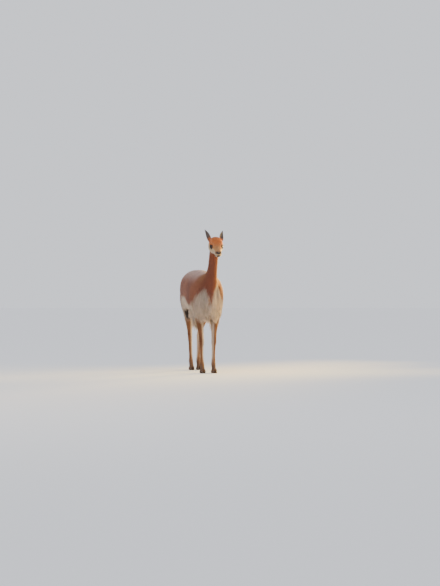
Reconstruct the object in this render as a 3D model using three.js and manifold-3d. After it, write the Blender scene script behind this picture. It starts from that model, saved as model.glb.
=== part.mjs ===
// A life-size vicuna standing alert, in millimetres. Z is up, it faces -Y, and its left side is on +X.
import * as THREE from "three";
import { mergeVertices } from "three/addons/utils/BufferGeometryUtils.js";
import Module from "manifold-3d";

const wasm = await Module();
wasm.setup();

// Driving dimensions
const GAP = 0.3; // between neighbouring pieces
const FORE_STANCE = 50; // from the midline to the middle of a fore foot
const HIND_STANCE = 36; // from the midline to the middle of a hind foot
const STAGGER = 24; // how far the left hind foot stands behind the right one
const POLL = new THREE.Vector3(31, -400, 1110); // where the neck carries the head
const HEAD_PITCH = 24; // degrees that the nose points below the level
const HEAD_YAW = -4; // degrees that the head turns to its own right
const HEAD_LENGTH = 234; // from the poll to the tip of the nose
const EYE_RADIUS = 14.5;
const EAR_LENGTH = 118;
const EAR_HALF_WIDTH = 19.5;
const EAR_WALL = 3.2;
const FOOT_TOP = 46; // height where a foot is told from its leg
const TOE_SPREAD = 12; // from the middle of a foot to the middle of each toe
const FLEECE_RISE = 11; // how far the clumps of wool stand out of the trunk
const CLUMP_SPACING = 112;
const BIB_DEPTH = 24; // how far the long hair of the chest stands out
const LOCK_WIDTH = 50;
const LOCK_THICKNESS = 12;
const LOCK_SUNK = 14; // depth of a lock's root

// Trunk and neck with their fleece, from the rump to the poll. Each section runs from a point on the
// top line to one on the underline, both given as distance back and height, and has its half width
// and the lean of its middle towards the animal's left.
const TRUNK_ROWS = [
  [366, 806, 378, 702, 54, 0],
  [350, 842, 370, 642, 94, 0],
  [316, 868, 342, 594, 122, 0],
  [262, 884, 283, 558, 137, 0],
  [190, 892, 200, 532, 145, 0],
  [100, 892, 100, 510, 150, 0],
  [10, 884, 10, 496, 152, 0],
  [-70, 873, -75, 487, 151, 0],
  [-135, 863, -150, 483, 150, 0],
  [-188, 856, -225, 485, 147, 0],
  [-213, 854, -292, 498, 138, 1],
  [-226, 855, -342, 532, 122, 3],
  [-237, 858, -372, 582, 101, 6],
  [-248, 863, -385, 640, 80, 10],
  [-260, 870, -388, 705, 59, 14],
  [-275, 882, -389, 768, 45, 18],
  [-295, 908, -396, 832, 39.5, 21],
  [-314, 948, -408, 898, 37.5, 23],
  [-334, 1002, -424, 966, 37, 25],
  [-352, 1056, -443, 1030, 38.5, 27],
  [-367, 1098, -455, 1070, 40, 29],
  [-383, 1127, -452, 1092, 36, 30],
  [-404, 1147, -444, 1116, 24, 31],
];

// Head along its own axis: distance from the poll, height above the axis, depth below it, half width
const HEAD_ROWS = [
  [-14, 34, 34, 30],
  [4, 56, 50, 47],
  [30, 69, 60, 57],
  [58, 70, 63, 59],
  [85, 60, 61, 55],
  [110, 45, 56, 47.5],
  [135, 34, 50, 38.5],
  [160, 27, 45, 31.5],
  [185, 22, 41, 28],
  [208, 19, 37, 27],
  [224, 15, 32, 23.5],
  [HEAD_LENGTH, 7, 23, 16],
];

// Where muscle, bone and lip stand out of that plain form: distance from the poll, degrees up from
// the side, the length and the degrees that it fades over, and its height
const FACE_SWELLINGS = [
  [98, 40, 26, 18, 6], // brow
  [104, 10, 28, 20, 5], // round the eye
  [112, -14, 34, 18, 4.5], // cheekbone
  [56, -34, 30, 30, 3], // jaw muscle
  [219, 44, 11, 20, 4], // wing of the nostril
  [207, -12, 26, 16, 3.5], // upper lip
  [205, -56, 20, 18, 2.5], // lower lip
];

// Fore leg from the shoulder down: outward, distance back, height, half width, depth ahead, depth behind
const FORE_ROWS = [
  [80, -232, 640, 40, 60, 60],
  [81, -230, 570, 47, 62, 62],
  [75, -230, 505, 42, 52, 54],
  [67, -238, 440, 32, 37, 39],
  [61, -246, 390, 25, 29, 31],
  [57, -254, 330, 20.5, 23, 24],
  [55, -260, 285, 20, 22, 20],
  [54, -261, 262, 20, 22, 20],
  [53, -258, 228, 15.5, 17, 18],
  [52, -256, 165, 13.5, 15, 16.5],
  [51, -257, 110, 14.5, 16, 17],
  [FORE_STANCE, -260, 82, 17, 17, 21],
  [FORE_STANCE, -271, 54, 16, 17, 18],
  [FORE_STANCE, -284, 32, 17, 22, 20],
  [FORE_STANCE, -302, 20, 13, 16, 16],
];

// Hind leg from the hip down, measured in the same way
const HIND_ROWS = [
  [78, 240, 735, 52, 92, 108],
  [80, 228, 670, 60, 114, 128],
  [80, 214, 600, 57, 112, 124],
  [75, 206, 535, 48, 96, 100],
  [66, 222, 468, 36, 63, 64],
  [56, 246, 410, 27, 39, 37],
  [49, 270, 358, 20, 24, 28],
  [44, 284, 318, 18, 23, 27],
  [42, 287, 285, 17, 22, 21],
  [40, 286, 240, 14.5, 17, 17],
  [38, 283, 170, 13.5, 15.5, 15.5],
  [HIND_STANCE, 280, 112, 14.5, 16, 16],
  [HIND_STANCE, 276, 84, 17, 17, 20],
  [HIND_STANCE, 264, 56, 16, 17, 18],
  [HIND_STANCE, 250, 32, 17, 22, 20],
  [HIND_STANCE, 232, 20, 13, 16, 16],
];

// Tail from inside the rump down, without its hair: distance back, height, half width
const TAIL_ROWS = [
  [335, 816, 20],
  [374, 808, 22],
  [397, 780, 21],
  [405, 735, 18],
  [406, 690, 15],
  [404, 650, 9],
];

const X_AXIS = new THREE.Vector3(1, 0, 0);
const Z_AXIS = new THREE.Vector3(0, 0, 1);
const REACH = 3000; // a cutting box larger than the animal

const point = (x, y, z) => new THREE.Vector3(x, y, z);
const radians = THREE.MathUtils.degToRad;

// Closed geometry to a solid whose faces point outwards
function solid(geometry, matrix = new THREE.Matrix4()) {
  const bare = geometry.clone().applyMatrix4(matrix);
  bare.deleteAttribute("normal");
  bare.deleteAttribute("uv");
  const merged = mergeVertices(bare, 1e-3);
  const corners = merged.getAttribute("position").array;
  const faces = new Uint32Array(merged.index.array);
  const [a, b, c] = [point(), point(), point()];
  let volume = 0;
  for (let i = 0; i < faces.length; i += 3) {
    a.fromArray(corners, 3 * faces[i]);
    b.fromArray(corners, 3 * faces[i + 1]);
    c.fromArray(corners, 3 * faces[i + 2]);
    volume += a.dot(b.cross(c));
  }
  if (volume < 0) faces.reverse();
  const mesh = new wasm.Mesh({ numProp: 3, vertProperties: new Float32Array(corners), triVerts: faces });
  return new wasm.Manifold(mesh);
}

const join = (solids) => solids.reduce((whole, piece) => whole.add(piece));

// The one closed surface that matters, without the scraps of a cut
function largest(made) {
  const bodies = made.decompose();
  return bodies.reduce((best, body) => (body.volume() > best.volume() ? body : best));
}

// A ball whose rings are carried to place(share from pole to pole, angle round)
function shaped(sides, rings, place) {
  const geometry = new THREE.SphereGeometry(1, sides, rings);
  const position = geometry.getAttribute("position");
  for (let i = 0; i < position.count; i++) {
    const ring = Math.floor(i / (sides + 1));
    const turn = (i % (sides + 1)) / sides;
    const put = place(ring / rings, 2 * Math.PI * (turn % 1));
    position.setXYZ(i, put.x, put.y, put.z);
  }
  return geometry;
}

// Where a rounded section lies at an angle: 2 is an oval, and more is squarer
function rounded(angle, squareness) {
  const soften = (v) => Math.sign(v) * Math.pow(Math.abs(v), 2 / squareness);
  return [soften(Math.cos(angle)), soften(Math.sin(angle))];
}

// Shares along a row of stations for a ring, where the first and last rings close the ends
const along = (share, rings) => THREE.MathUtils.clamp((share * rings - 1) / (rings - 2), 0, 1);

// The skin of a fleshy length whose rounded sections follow a line, as skin(t, angle): each station
// has at, half, up and down, and the sections are level along the direction across
const even = () => 0;
function limbSkin(stations, { grow = 0, square = 2, swell = even, across = X_AXIS } = {}) {
  const line = new THREE.CatmullRomCurve3(stations.map((s) => s.at));
  const sizes = new THREE.CatmullRomCurve3(stations.map((s) => point(s.half, s.up, s.down)));
  return (t, angle) => {
    const ahead = line.getTangent(t);
    const side = across.clone().addScaledVector(ahead, -across.dot(ahead)).normalize();
    const up = ahead.clone().cross(side);
    const centre = line.getPoint(t);
    const size = sizes.getPoint(t).addScalar(grow + swell(-centre.y, angle));
    const [out, rise] = rounded(angle, square);
    centre.addScaledVector(side, out * size.x);
    return centre.addScaledVector(up, rise * (rise > 0 ? size.y : size.z));
  };
}

// That length as a closed form, with a low cap at both ends
function limb(stations, { sides = 12, rings = 20, cap = 0.35, ...options } = {}) {
  const skin = limbSkin(stations, options);
  const line = new THREE.CatmullRomCurve3(stations.map((s) => s.at));
  const ends = [stations[0], stations[stations.length - 1]];
  const [start, end] = ends.map((s, i) => {
    const reach = cap * (s.half + (options.grow ?? 0)) * (i === 0 ? -1 : 1);
    return s.at.clone().addScaledVector(line.getTangent(i), reach);
  });
  return shaped(sides, rings, (share, angle) => {
    if (share === 0) return start.clone();
    if (share === 1) return end.clone();
    return skin(along(share, rings), angle);
  });
}

// The skin of the trunk and neck between their top line and underline, in the same way
const TRUNK_SQUARENESS = 2.3;
const trunkTops = new THREE.CatmullRomCurve3(TRUNK_ROWS.map(([back, high]) => point(0, back, high)));
const trunkUnders = new THREE.CatmullRomCurve3(TRUNK_ROWS.map(([, , back, low]) => point(0, back, low)));
const trunkMiddles = TRUNK_ROWS.map(([, , , , half, lean]) => point(half, lean, 0));
const trunkWidths = new THREE.CatmullRomCurve3(trunkMiddles);
function trunkSkin(t, angle, grow = 0) {
  const top = trunkTops.getPoint(t);
  const under = trunkUnders.getPoint(t);
  const [half, lean] = trunkWidths.getPoint(t);
  const centre = top.clone().add(under).multiplyScalar(0.5).setX(lean);
  const up = top.sub(under).multiplyScalar(0.5);
  up.setLength(up.length() + grow);
  const [across, rise] = rounded(angle, TRUNK_SQUARENESS);
  return centre.addScaledVector(X_AXIS, across * (half + grow)).addScaledVector(up, rise);
}
const TRUNK_SIDES = 18;
const TRUNK_RINGS = 34;
const RUMP_CAP = 16;

// How deep the coat lies over the flesh: wool on the trunk, long hair on the chest, little on the neck
function coatDepth(t, angle) {
  const wool = 1 - THREE.MathUtils.smoothstep(t, 0.58, 0.68);
  const ahead = THREE.MathUtils.smoothstep(t, 0.42, 0.5);
  const under = THREE.MathUtils.smoothstep(-Math.sin(angle), -0.2, 0.5);
  return wool * THREE.MathUtils.lerp(FLEECE_RISE, BIB_DEPTH, ahead * under);
}
const flesh = (t, angle, grow = 0) => trunkSkin(t, angle, grow - coatDepth(t, angle));
function trunkGeometry(grow = 0) {
  const rump = trunkSkin(0, 0, 0).add(trunkSkin(0, Math.PI, 0)).multiplyScalar(0.5);
  const poll = trunkSkin(1, 0, 0).add(trunkSkin(1, Math.PI, 0)).multiplyScalar(0.5);
  return shaped(TRUNK_SIDES, TRUNK_RINGS, (share, angle) => {
    if (share === 0) return rump.clone().add(point(0, RUMP_CAP + grow - FLEECE_RISE, 0));
    if (share === 1) return poll.clone().add(point(0, 0, grow));
    return flesh(along(share, TRUNK_RINGS), angle, grow);
  });
}

// An egg with half sizes along its own axes, turned about X, then Y, then Z
function egg(centre, sizes, turn = [0, 0, 0], sides = 12, rings = 8) {
  const geometry = new THREE.SphereGeometry(1, sides, rings);
  const angles = new THREE.Euler(...turn.map(radians));
  const placed = new THREE.Matrix4().compose(centre, new THREE.Quaternion().setFromEuler(angles), sizes);
  return geometry.applyMatrix4(placed);
}

// Everything on the side of a plane that its normal points to, started off the plane by a distance
function beyond(through, normal, off = 0) {
  const turned = new THREE.Quaternion().setFromUnitVectors(Z_AXIS, normal);
  const centre = through.clone().addScaledVector(normal, off + REACH / 2);
  const placed = new THREE.Matrix4().compose(centre, turned, point(REACH, REACH, REACH));
  return solid(new THREE.BoxGeometry(1, 1, 1), placed);
}

function block(low, high) {
  const size = high.clone().sub(low);
  const geometry = new THREE.BoxGeometry(size.x, size.y, size.z);
  return solid(geometry.translate(low.x + size.x / 2, low.y + size.y / 2, low.z + size.z / 2));
}

// Stations of each part from its rows
const headStations = HEAD_ROWS.map(([ahead, above, below, half]) => {
  return { at: point(0, -ahead, 0), half, up: above, down: below };
});
const tailStations = TAIL_ROWS.map(([back, height, half]) => {
  return { at: point(0, back, height), half, up: half, down: half };
});
// A leg set back or forward moves most at its foot, and not at all at the hip
const HIP_HEIGHT = 640;
const legStations = ({ rows, side, set }) =>
  rows.map(([out, back, height, half, ahead, behind]) => {
    const swing = set * THREE.MathUtils.clamp(1 - height / HIP_HEIGHT, 0, 1);
    return { at: point(side * out, back + swing, height), half, up: ahead, down: behind };
  });

// The head's own frame: its axis runs forward along -Y from the poll
const HEAD_FRAME = new THREE.Matrix4()
  .makeTranslation(POLL)
  .multiply(new THREE.Matrix4().makeRotationZ(radians(HEAD_YAW)))
  .multiply(new THREE.Matrix4().makeRotationX(radians(HEAD_PITCH)));

const FORE_FOOT = -290; // distance back of the middle of a fore foot
const HIND_FOOT = 244;
const FORE = { rows: FORE_ROWS, stance: FORE_STANCE, set: 0, foot: FORE_FOOT };
const HIND = { rows: HIND_ROWS, stance: HIND_STANCE, set: 0, foot: HIND_FOOT };
const LEGS = [
  { ...FORE, name: "fore_left", side: 1 },
  { ...FORE, name: "fore_right", side: -1 },
  { ...HIND, name: "hind_left", side: 1, set: STAGGER, foot: HIND_FOOT + STAGGER },
  { ...HIND, name: "hind_right", side: -1 },
];

// Two soft toes and a heel pad, flat where they stand
const TOE = point(11.5, 33, 24);
const TOE_HEIGHT = 14;
const HEEL = point(19, 20, 19);
function footGeometry(leg) {
  const middle = leg.side * leg.stance;
  const toes = [-1, 1].map((way) => {
    const centre = point(middle + way * TOE_SPREAD, leg.foot, TOE_HEIGHT);
    return solid(egg(centre, TOE, [-8, 0, -4 * way], 7, 5));
  });
  const heel = solid(egg(point(middle, leg.foot + 18, TOE_HEIGHT), HEEL, [0, 0, 0], 7, 5));
  return join([...toes, heel]).intersect(beyond(point(0, 0, 0), Z_AXIS));
}

// A toe's pointed nail, from inside the toe to its tip
const NAIL_ROWS = [
  [22, 15, 6.5, 6.5],
  [30, 14, 6, 6.5],
  [38, 10, 4.6, 5],
  [45, 5.5, 2.4, 2.8],
];
function nailGeometry(leg, way, grow) {
  const middle = leg.side * leg.stance + way * (TOE_SPREAD + 1);
  const stations = NAIL_ROWS.map(([ahead, height, half, deep]) => {
    return { at: point(middle, leg.foot - ahead, height), half, up: deep, down: deep };
  });
  return solid(limb(stations, { sides: 6, rings: 4, grow, cap: 0.5 }));
}

// Where muscle, bone and lip swell the plain form of the head
function faceSwelling(ahead, angle) {
  const round = THREE.MathUtils.radToDeg(Math.asin(Math.sin(angle)));
  return FACE_SWELLINGS.reduce((sum, [at, tilt, length, spread, height]) => {
    const away = ((ahead - at) / length) ** 2 + ((round - tilt) / spread) ** 2;
    return sum + height * Math.exp(-away);
  }, 0);
}
const SKULL = { sides: 22, rings: 25, square: 2.4, swell: faceSwelling };
const LIMB = { sides: 10, rings: 21 };

// Draws that vary the coat, the same on every run
THREE.MathUtils.seededRandom(8);
const vary = (low, high) => THREE.MathUtils.lerp(low, high, THREE.MathUtils.seededRandom());

// A place on a skin with the directions out of it and along the lie of the coat there
const STEP = 1e-3;
function coatPlace(skin, t, angle, heart, lying) {
  const at = skin(t, angle);
  const lengthwise = skin(Math.min(t + STEP, 1), angle).sub(skin(Math.max(t - STEP, 0), angle));
  const around = skin(t, angle + STEP).sub(skin(t, angle - STEP));
  const out = lengthwise.cross(around).normalize();
  if (out.dot(at.clone().sub(heart)) < 0) out.negate();
  const lie = lying.clone().addScaledVector(out, -lying.dot(out)).normalize();
  return { at, out, lie };
}

// A rounded clump of wool, longest along its lie and half buried
const CLUMP = point(61, 71, 20);
const WOOL_LIE = point(0, 0.75, -0.66);
function clump({ at, out, lie }, scale, rise) {
  const ahead = lie.clone().applyAxisAngle(out, vary(-0.35, 0.35));
  const sizes = CLUMP.clone().multiplyScalar(scale).multiply(point(vary(0.9, 1.1), vary(0.9, 1.15), 1));
  const placed = new THREE.Matrix4().makeBasis(ahead.clone().cross(out), ahead, out).scale(sizes);
  placed.setPosition(at.addScaledVector(out, rise * vary(0.8, 1.1) - sizes.z));
  return solid(new THREE.SphereGeometry(1, 7, 5).rotateX(Math.PI / 2), placed);
}

// Clumps set close over the trunk, ring after ring from the rump to the shoulder
const CLUMPED = [0.03, 0.505]; // the share of the trunk's length that carries them
const CLUMPED_LENGTH = 680;
const BELLY = -0.8; // the sine of the angle below which the belly is bare
const SHOULDER = 0.46; // the share of the length past which they keep above the long hair of the chest
const heartOfTrunk = point(0, 60, 700);
function trunkFleece() {
  const clumps = [];
  const rings = Math.round(CLUMPED_LENGTH / CLUMP_SPACING);
  for (let ring = 0; ring <= rings; ring++) {
    const t = THREE.MathUtils.lerp(...CLUMPED, ring / rings);
    const half = trunkWidths.getPoint(t).x;
    const count = Math.round((2.24 * Math.PI * half) / CLUMP_SPACING);
    for (let i = 0; i < count; i++) {
      const angle = ((i + (ring % 2) / 2 + vary(-0.12, 0.12)) / count) * 2 * Math.PI + Math.PI / 2;
      const place = coatPlace(flesh, t + vary(-0.006, 0.006), angle, heartOfTrunk, WOOL_LIE);
      const lowest = t < SHOULDER ? BELLY : 0;
      if (Math.sin(angle) > lowest) clumps.push(clump(place, vary(0.92, 1.08), FLEECE_RISE));
    }
  }
  return clumps;
}

// Clumps on the outer side of a thigh: share of the leg's length and degrees round from the outside
const THIGH_CLUMPS = [
  [0.1, 62],
  [0.1, 0],
  [0.12, -62],
  [0.21, 35],
  [0.21, -32],
];
const THIGH_RISE = 6;
const THIGH_SCALE = 0.78;
function thighFleece(leg) {
  const stations = legStations(leg);
  const skin = limbSkin(stations);
  return THIGH_CLUMPS.map(([t, round]) => {
    const angle = leg.side > 0 ? radians(round) : Math.PI - radians(round);
    const place = coatPlace(skin, t, angle, skin(t, angle).setX(0), WOOL_LIE);
    return clump(place, THIGH_SCALE * vary(0.92, 1.08), THIGH_RISE);
  });
}

// A flat lock of long hair, sunk at its root, that bends from its lie until it hangs, to a narrow tip:
// share of its length, width and thickness there, and how far it has come out of the flesh
const LOCK_ROWS = [
  [0, 0.8, 1, -1],
  [0.2, 1, 1, 0.15],
  [0.5, 0.95, 0.85, 0.8],
  [0.8, 0.6, 0.6, 0.9],
  [1, 0.14, 0.3, 0.9],
];
const DOWN = point(0, 0, -1);
function lock({ at, out, lie }, length, lift, size = 1) {
  const across = out.clone().cross(lie).normalize();
  const sway = vary(-0.16, 0.16) * length;
  const width = (LOCK_WIDTH * size * vary(0.85, 1.1)) / 2;
  const stations = LOCK_ROWS.map(([share, wide, thick, raised]) => {
    const place = at.clone().addScaledVector(out, raised < 0 ? -LOCK_SUNK : lift * raised);
    place.addScaledVector(lie, length * (share - share ** 2 / 2));
    place.addScaledVector(DOWN, (length * share ** 2) / 2);
    place.addScaledVector(across, sway * share ** 2);
    const deep = (LOCK_THICKNESS * size * thick) / 2;
    return { at: place, half: width * wide, up: deep, down: deep };
  });
  return solid(limb(stations, { sides: 5, rings: 5, cap: 0.2, across }));
}

// Rows of locks on the chest, each hanging over the next: share of the trunk's length, how many, the
// degrees that they spread to each side of the underline, and their length
const BIB_ROWS = [
  [0.468, 4, 56, 70],
  [0.505, 5, 74, 96],
  [0.545, 6, 78, 120],
  [0.585, 5, 78, 124],
  [0.622, 4, 74, 112],
];
// The same at the sides behind the elbows
const ELBOW_ROWS = [
  [0.4, 2, 64, 62],
  [0.435, 4, 72, 70],
];
const BIB_LIE = point(0, 0.12, -1);
const BIB_LIFT = 15;
const ELBOW_LIFT = 9;
const UNDERLINE = -Math.PI / 2;
const heartOfChest = point(0, -270, 690);
function hangingLocks(rows, lift, inner) {
  return rows.flatMap(([t, count, spread, length]) =>
    Array.from({ length: count }, (_, i) => {
      const turn = THREE.MathUtils.lerp(-1, 1, (i + 0.5 + vary(-0.2, 0.2)) / count);
      const wide = Math.sign(turn) * THREE.MathUtils.lerp(inner, 1, Math.abs(turn));
      const angle = UNDERLINE + radians(spread) * wide;
      const place = coatPlace(flesh, t + vary(-0.006, 0.006), angle, heartOfChest, BIB_LIE);
      return lock(place, length * vary(0.85, 1.15), lift * vary(0.8, 1.15));
    })
  );
}

// Hair of the tail, in rings that hang over each other round its bone
const TAIL_ROOTS = [
  [0.34, 3, 96],
  [0.56, 3, 94],
  [0.8, 2, 88],
];
const TAIL = { sides: 9, rings: 9, cap: 0.9 };
const TAIL_LIFT = 12;
const TAIL_SHEATH = [point(0, 404, 730), point(50, 56, 150)]; // an egg that no wool of the rump enters
const TAIL_LOCK = 0.9; // the size of its locks beside those of the chest
function tailHair() {
  const skin = limbSkin(tailStations);
  const bone = new THREE.CatmullRomCurve3(tailStations.map((s) => s.at));
  return TAIL_ROOTS.flatMap(([t, count, length]) =>
    Array.from({ length: count }, (_, i) => {
      const angle = ((i + t * 4 + vary(-0.15, 0.15)) / count) * 2 * Math.PI;
      const place = coatPlace(skin, t, angle, bone.getPoint(t), DOWN);
      return lock(place, length * vary(0.9, 1.1), TAIL_LIFT * vary(0.8, 1.1), TAIL_LOCK);
    })
  );
}

// A plane across the midline through two points given as distance back and height
function plane([back, height], [otherBack, otherHeight]) {
  const along = point(0, otherBack - back, otherHeight - height).normalize();
  return { through: point(0, back, height), normal: X_AXIS.clone().cross(along) };
}

const throatLatch = plane([-462, 1010], [-358, 1116]);
const neckBase = plane([-396, 705], [-236, 866]);
const haunchLine = plane([400, 700], [105, 498]);
const gaskinLine = plane([330, 478], [100, 440]);
const elbowLine = plane([0, 470], [-400, 470]);
const footLine = plane([0, FOOT_TOP], [-400, FOOT_TOP]);

const past = (line, off) => beyond(line.through, line.normal, off);

const trunk = solid(trunkGeometry());
const skull = solid(limb(headStations, SKULL), HEAD_FRAME);
const legs = LEGS.map((leg) => solid(limb(legStations(leg), LIMB)));
const feet = LEGS.map((leg) => footGeometry(leg));
const thighWool = LEGS.filter((leg) => leg.foot > 0).flatMap((leg) => thighFleece(leg));
const tailSheath = solid(egg(...TAIL_SHEATH));
const wool = join([...trunkFleece(), ...thighWool]).subtract(tailSheath).subtract(past(neckBase, 0));
let rest = join([trunk, skull, ...legs, ...feet, wool]);

const nodes = new Map();
// Names what lies in a region, and leaves the rest clear of it by the gap
function part(name, region, grown) {
  nodes.set(name, largest(rest.intersect(region)));
  rest = rest.subtract(grown);
}

part("head", past(throatLatch, GAP / 2), past(throatLatch, -GAP / 2));
part("neck", past(neckBase, GAP / 2), past(neckBase, -GAP / 2));

// The quarter of the animal that holds a leg, widened by a distance
const HALFWAY = 0; // distance back of the plane between the fore and the hind quarters
function quarter(leg, extra) {
  const [right, left] = leg.side > 0 ? [-extra, REACH] : [-REACH, extra];
  const [ahead, behind] = leg.foot > 0 ? [HALFWAY - extra, REACH] : [-REACH, HALFWAY + extra];
  return block(point(right, ahead, -REACH), point(left, behind, REACH));
}
function below(leg, line, name) {
  const cut = (extra) => quarter(leg, extra).intersect(past(line, -extra));
  part(name, cut(-GAP / 2), cut(GAP / 2));
}
for (const leg of LEGS) {
  const hind = leg.foot > 0;
  below(leg, footLine, "foot_" + leg.name);
  below(leg, hind ? gaskinLine : elbowLine, "leg_" + leg.name);
  if (hind) below(leg, haunchLine, "thigh_" + leg.name.slice("hind_".length));
}
nodes.set("torso", largest(rest));

// Face: sockets, lids, nose, lips and the line of the mouth, all in the head's own frame
const onHead = (geometry) => solid(geometry, HEAD_FRAME);
const EYE_AT = point(41.5, -104, 11);
const LOOK = point(0.9, -0.42, 0.1).normalize();
const LIDS = point(17.5, 24, 17);
const bothSides = (make) => [1, -1].map((side) => make(side));
const mirrored = (v, side) => point(side * v.x, v.y, v.z);

// The almond opening between the lids
const LID_HALF_LENGTH = 13.5;
const LID_HALF_HEIGHT = 9.5;
function lidOpening(side) {
  const almond = new THREE.Shape();
  almond.moveTo(-LID_HALF_LENGTH, 0);
  almond.quadraticCurveTo(0, 2 * LID_HALF_HEIGHT, LID_HALF_LENGTH, 0);
  almond.quadraticCurveTo(0, -2 * LID_HALF_HEIGHT, -LID_HALF_LENGTH, 0);
  const deep = { depth: 3 * EYE_RADIUS, bevelEnabled: false, curveSegments: 6 };
  const prism = new THREE.ExtrudeGeometry(almond, deep);
  const look = mirrored(LOOK, side);
  const along = Z_AXIS.clone().cross(look).normalize();
  const up = look.clone().cross(along);
  const placed = new THREE.Matrix4().makeBasis(along, up, look).setPosition(mirrored(EYE_AT, side));
  return solid(prism, HEAD_FRAME.clone().multiply(placed));
}
function eyeball(side, grow = 0) {
  const size = EYE_RADIUS + grow;
  return onHead(egg(mirrored(EYE_AT, side), point(size, size, size), [0, 0, 0], 12, 8));
}

let head = nodes.get("head");
const lids = bothSides((side) => onHead(egg(mirrored(EYE_AT, side), LIDS, [0, 0, side * 8], 12, 7)));
head = join([head, ...lids]);

// The mouth is a groove round the muzzle, as deep as the lips
const LIP = 5;
const MOUTH_GAPE = 1.8;
const MOUTH_LINE = [
  [250, -17],
  [225, -19],
  [204, -19.5],
  [176, -25],
];
function mouthGroove() {
  const edge = new THREE.SplineCurve(MOUTH_LINE.map(([ahead, height]) => new THREE.Vector2(ahead, height)));
  const upper = edge.getPoints(6).map((p) => new THREE.Vector2(p.x, p.y + MOUTH_GAPE / 2));
  const lower = edge.getPoints(6).map((p) => new THREE.Vector2(p.x, p.y - MOUTH_GAPE / 2));
  const strip = new THREE.Shape([...upper, ...lower.reverse()]);
  const slab = new THREE.ExtrudeGeometry(strip, { depth: 100, bevelEnabled: false });
  const sideways = new THREE.Matrix4().makeBasis(point(0, -1, 0), Z_AXIS, point(-1, 0, 0));
  return onHead(slab.applyMatrix4(sideways.setPosition(50, 0, 0)));
}
const NOSTRIL = [point(9.5, -228, 8), point(3, 9, 5.5), [25, 0, 30]];
const PHILTRUM = [point(0, -238, -9), point(1, 8, 8)];
const nostrils = bothSides((side) => {
  const [centre, sizes, turn] = NOSTRIL;
  return onHead(egg(mirrored(centre, side), sizes, [turn[0], 0, side * turn[2]], 10, 8));
});
const behindLips = onHead(limb(headStations, { ...SKULL, grow: -LIP }));
head = head.subtract(mouthGroove().subtract(behindLips)).subtract(onHead(egg(...PHILTRUM)));
head = nostrils.reduce((made, hole) => made.subtract(hole), head);
for (const side of [1, -1]) {
  const name = side > 0 ? "eye_left" : "eye_right";
  head = head.subtract(lidOpening(side)).subtract(eyeball(side, GAP));
  nodes.set(name, eyeball(side));
}

// Ears: a leaf rolled nearly shut at the root and open to its tip, each turned in its own way
const EAR_AT = point(45, -22, 42);
const EARS = [
  { name: "ear_left", side: 1, aim: point(0.3, 0.68, 0.67), faces: point(0.12, -0.95, 0) },
  { name: "ear_right", side: -1, aim: point(-0.26, 0.62, 0.74), faces: point(-0.6, -0.8, 0) },
];
const EAR_ROOT = 28; // how far the ear starts inside the head
const ROLL_AT_ROOT = 230; // degrees round that the leaf reaches at its root, and at its tip
const ROLL_AT_TIP = 70;
const EAR_BOW = 9; // how far the middle of the ear bends back
const EAR_SIDES = 12;
const EAR_RINGS = 10;
function earGeometry(ear) {
  const curled = shaped(EAR_SIDES, EAR_RINGS, (share, angle) => {
    const t = along(share, EAR_RINGS);
    const leaf = Math.pow(Math.sin(Math.PI * (0.15 + 0.83 * t)), 0.75);
    const roll = radians(THREE.MathUtils.lerp(ROLL_AT_ROOT, ROLL_AT_TIP, Math.pow(t, 0.7)));
    const radius = (EAR_HALF_WIDTH * leaf) / Math.sin(Math.min(roll / 2, Math.PI / 2));
    const wall = EAR_WALL * Math.pow(Math.abs(Math.sin(angle)), 0.4);
    const outer = radius - (Math.sin(angle) > 0 ? 0 : wall);
    const round = (roll / 2) * Math.cos(angle);
    const back = EAR_BOW * Math.sin(Math.PI * t) - radius;
    const height = (EAR_LENGTH + EAR_ROOT) * t - EAR_ROOT;
    if (share === 0) return point(0, back + radius - EAR_WALL / 2, height - 1);
    if (share === 1) return point(0, back + radius - EAR_WALL / 2, height + 1);
    return point(outer * Math.sin(round), back + outer * Math.cos(round), height);
  });
  const up = ear.aim.clone().normalize();
  const back = ear.faces.clone().negate().addScaledVector(up, ear.faces.dot(up)).normalize();
  const placed = new THREE.Matrix4().makeBasis(back.clone().cross(up), back, up);
  return curled.applyMatrix4(placed.setPosition(mirrored(EAR_AT, ear.side).applyMatrix4(HEAD_FRAME)));
}
const headGrown = solid(limb(headStations, { ...SKULL, grow: GAP }), HEAD_FRAME);
for (const ear of EARS) {
  nodes.set(ear.name, largest(solid(earGeometry(ear)).subtract(headGrown)));
}
nodes.set("head", largest(head));

// Locks of the chest, clear of the neck and of the legs below the elbow
const clearOfLegs = LEGS.filter((leg) => leg.foot < 0).map((leg) => {
  return solid(limb(legStations(leg), { ...LIMB, grow: GAP })).intersect(past(elbowLine, -GAP / 2));
});
const chestHair = [...hangingLocks(BIB_ROWS, BIB_LIFT, 0), ...hangingLocks(ELBOW_ROWS, ELBOW_LIFT, 0.45)];
const bib = join(chestHair).subtract(past(neckBase, -GAP / 2)).subtract(join(clearOfLegs));
nodes.set("torso", largest(nodes.get("torso").add(bib)));

// The tail hangs from the rump and lies clear of it below its root
const rumpGrown = solid(trunkGeometry(GAP).translate(0, GAP, 0));
const tail = join([solid(limb(tailStations, TAIL)), ...tailHair()]);
nodes.set("tail", largest(tail.subtract(rumpGrown)));
nodes.set("torso", largest(nodes.get("torso").subtract(solid(limb(tailStations, { ...TAIL, grow: GAP })))));

// Nails, each set in its toe
for (const leg of LEGS) {
  for (const way of [-1, 1]) {
    const inside = way * leg.side < 0 ? "inner" : "outer";
    nodes.set(`nail_${leg.name}_${inside}`, nailGeometry(leg, way, 0));
    const foot = nodes.get("foot_" + leg.name);
    nodes.set("foot_" + leg.name, largest(foot.subtract(nailGeometry(leg, way, GAP))));
  }
}

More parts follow.
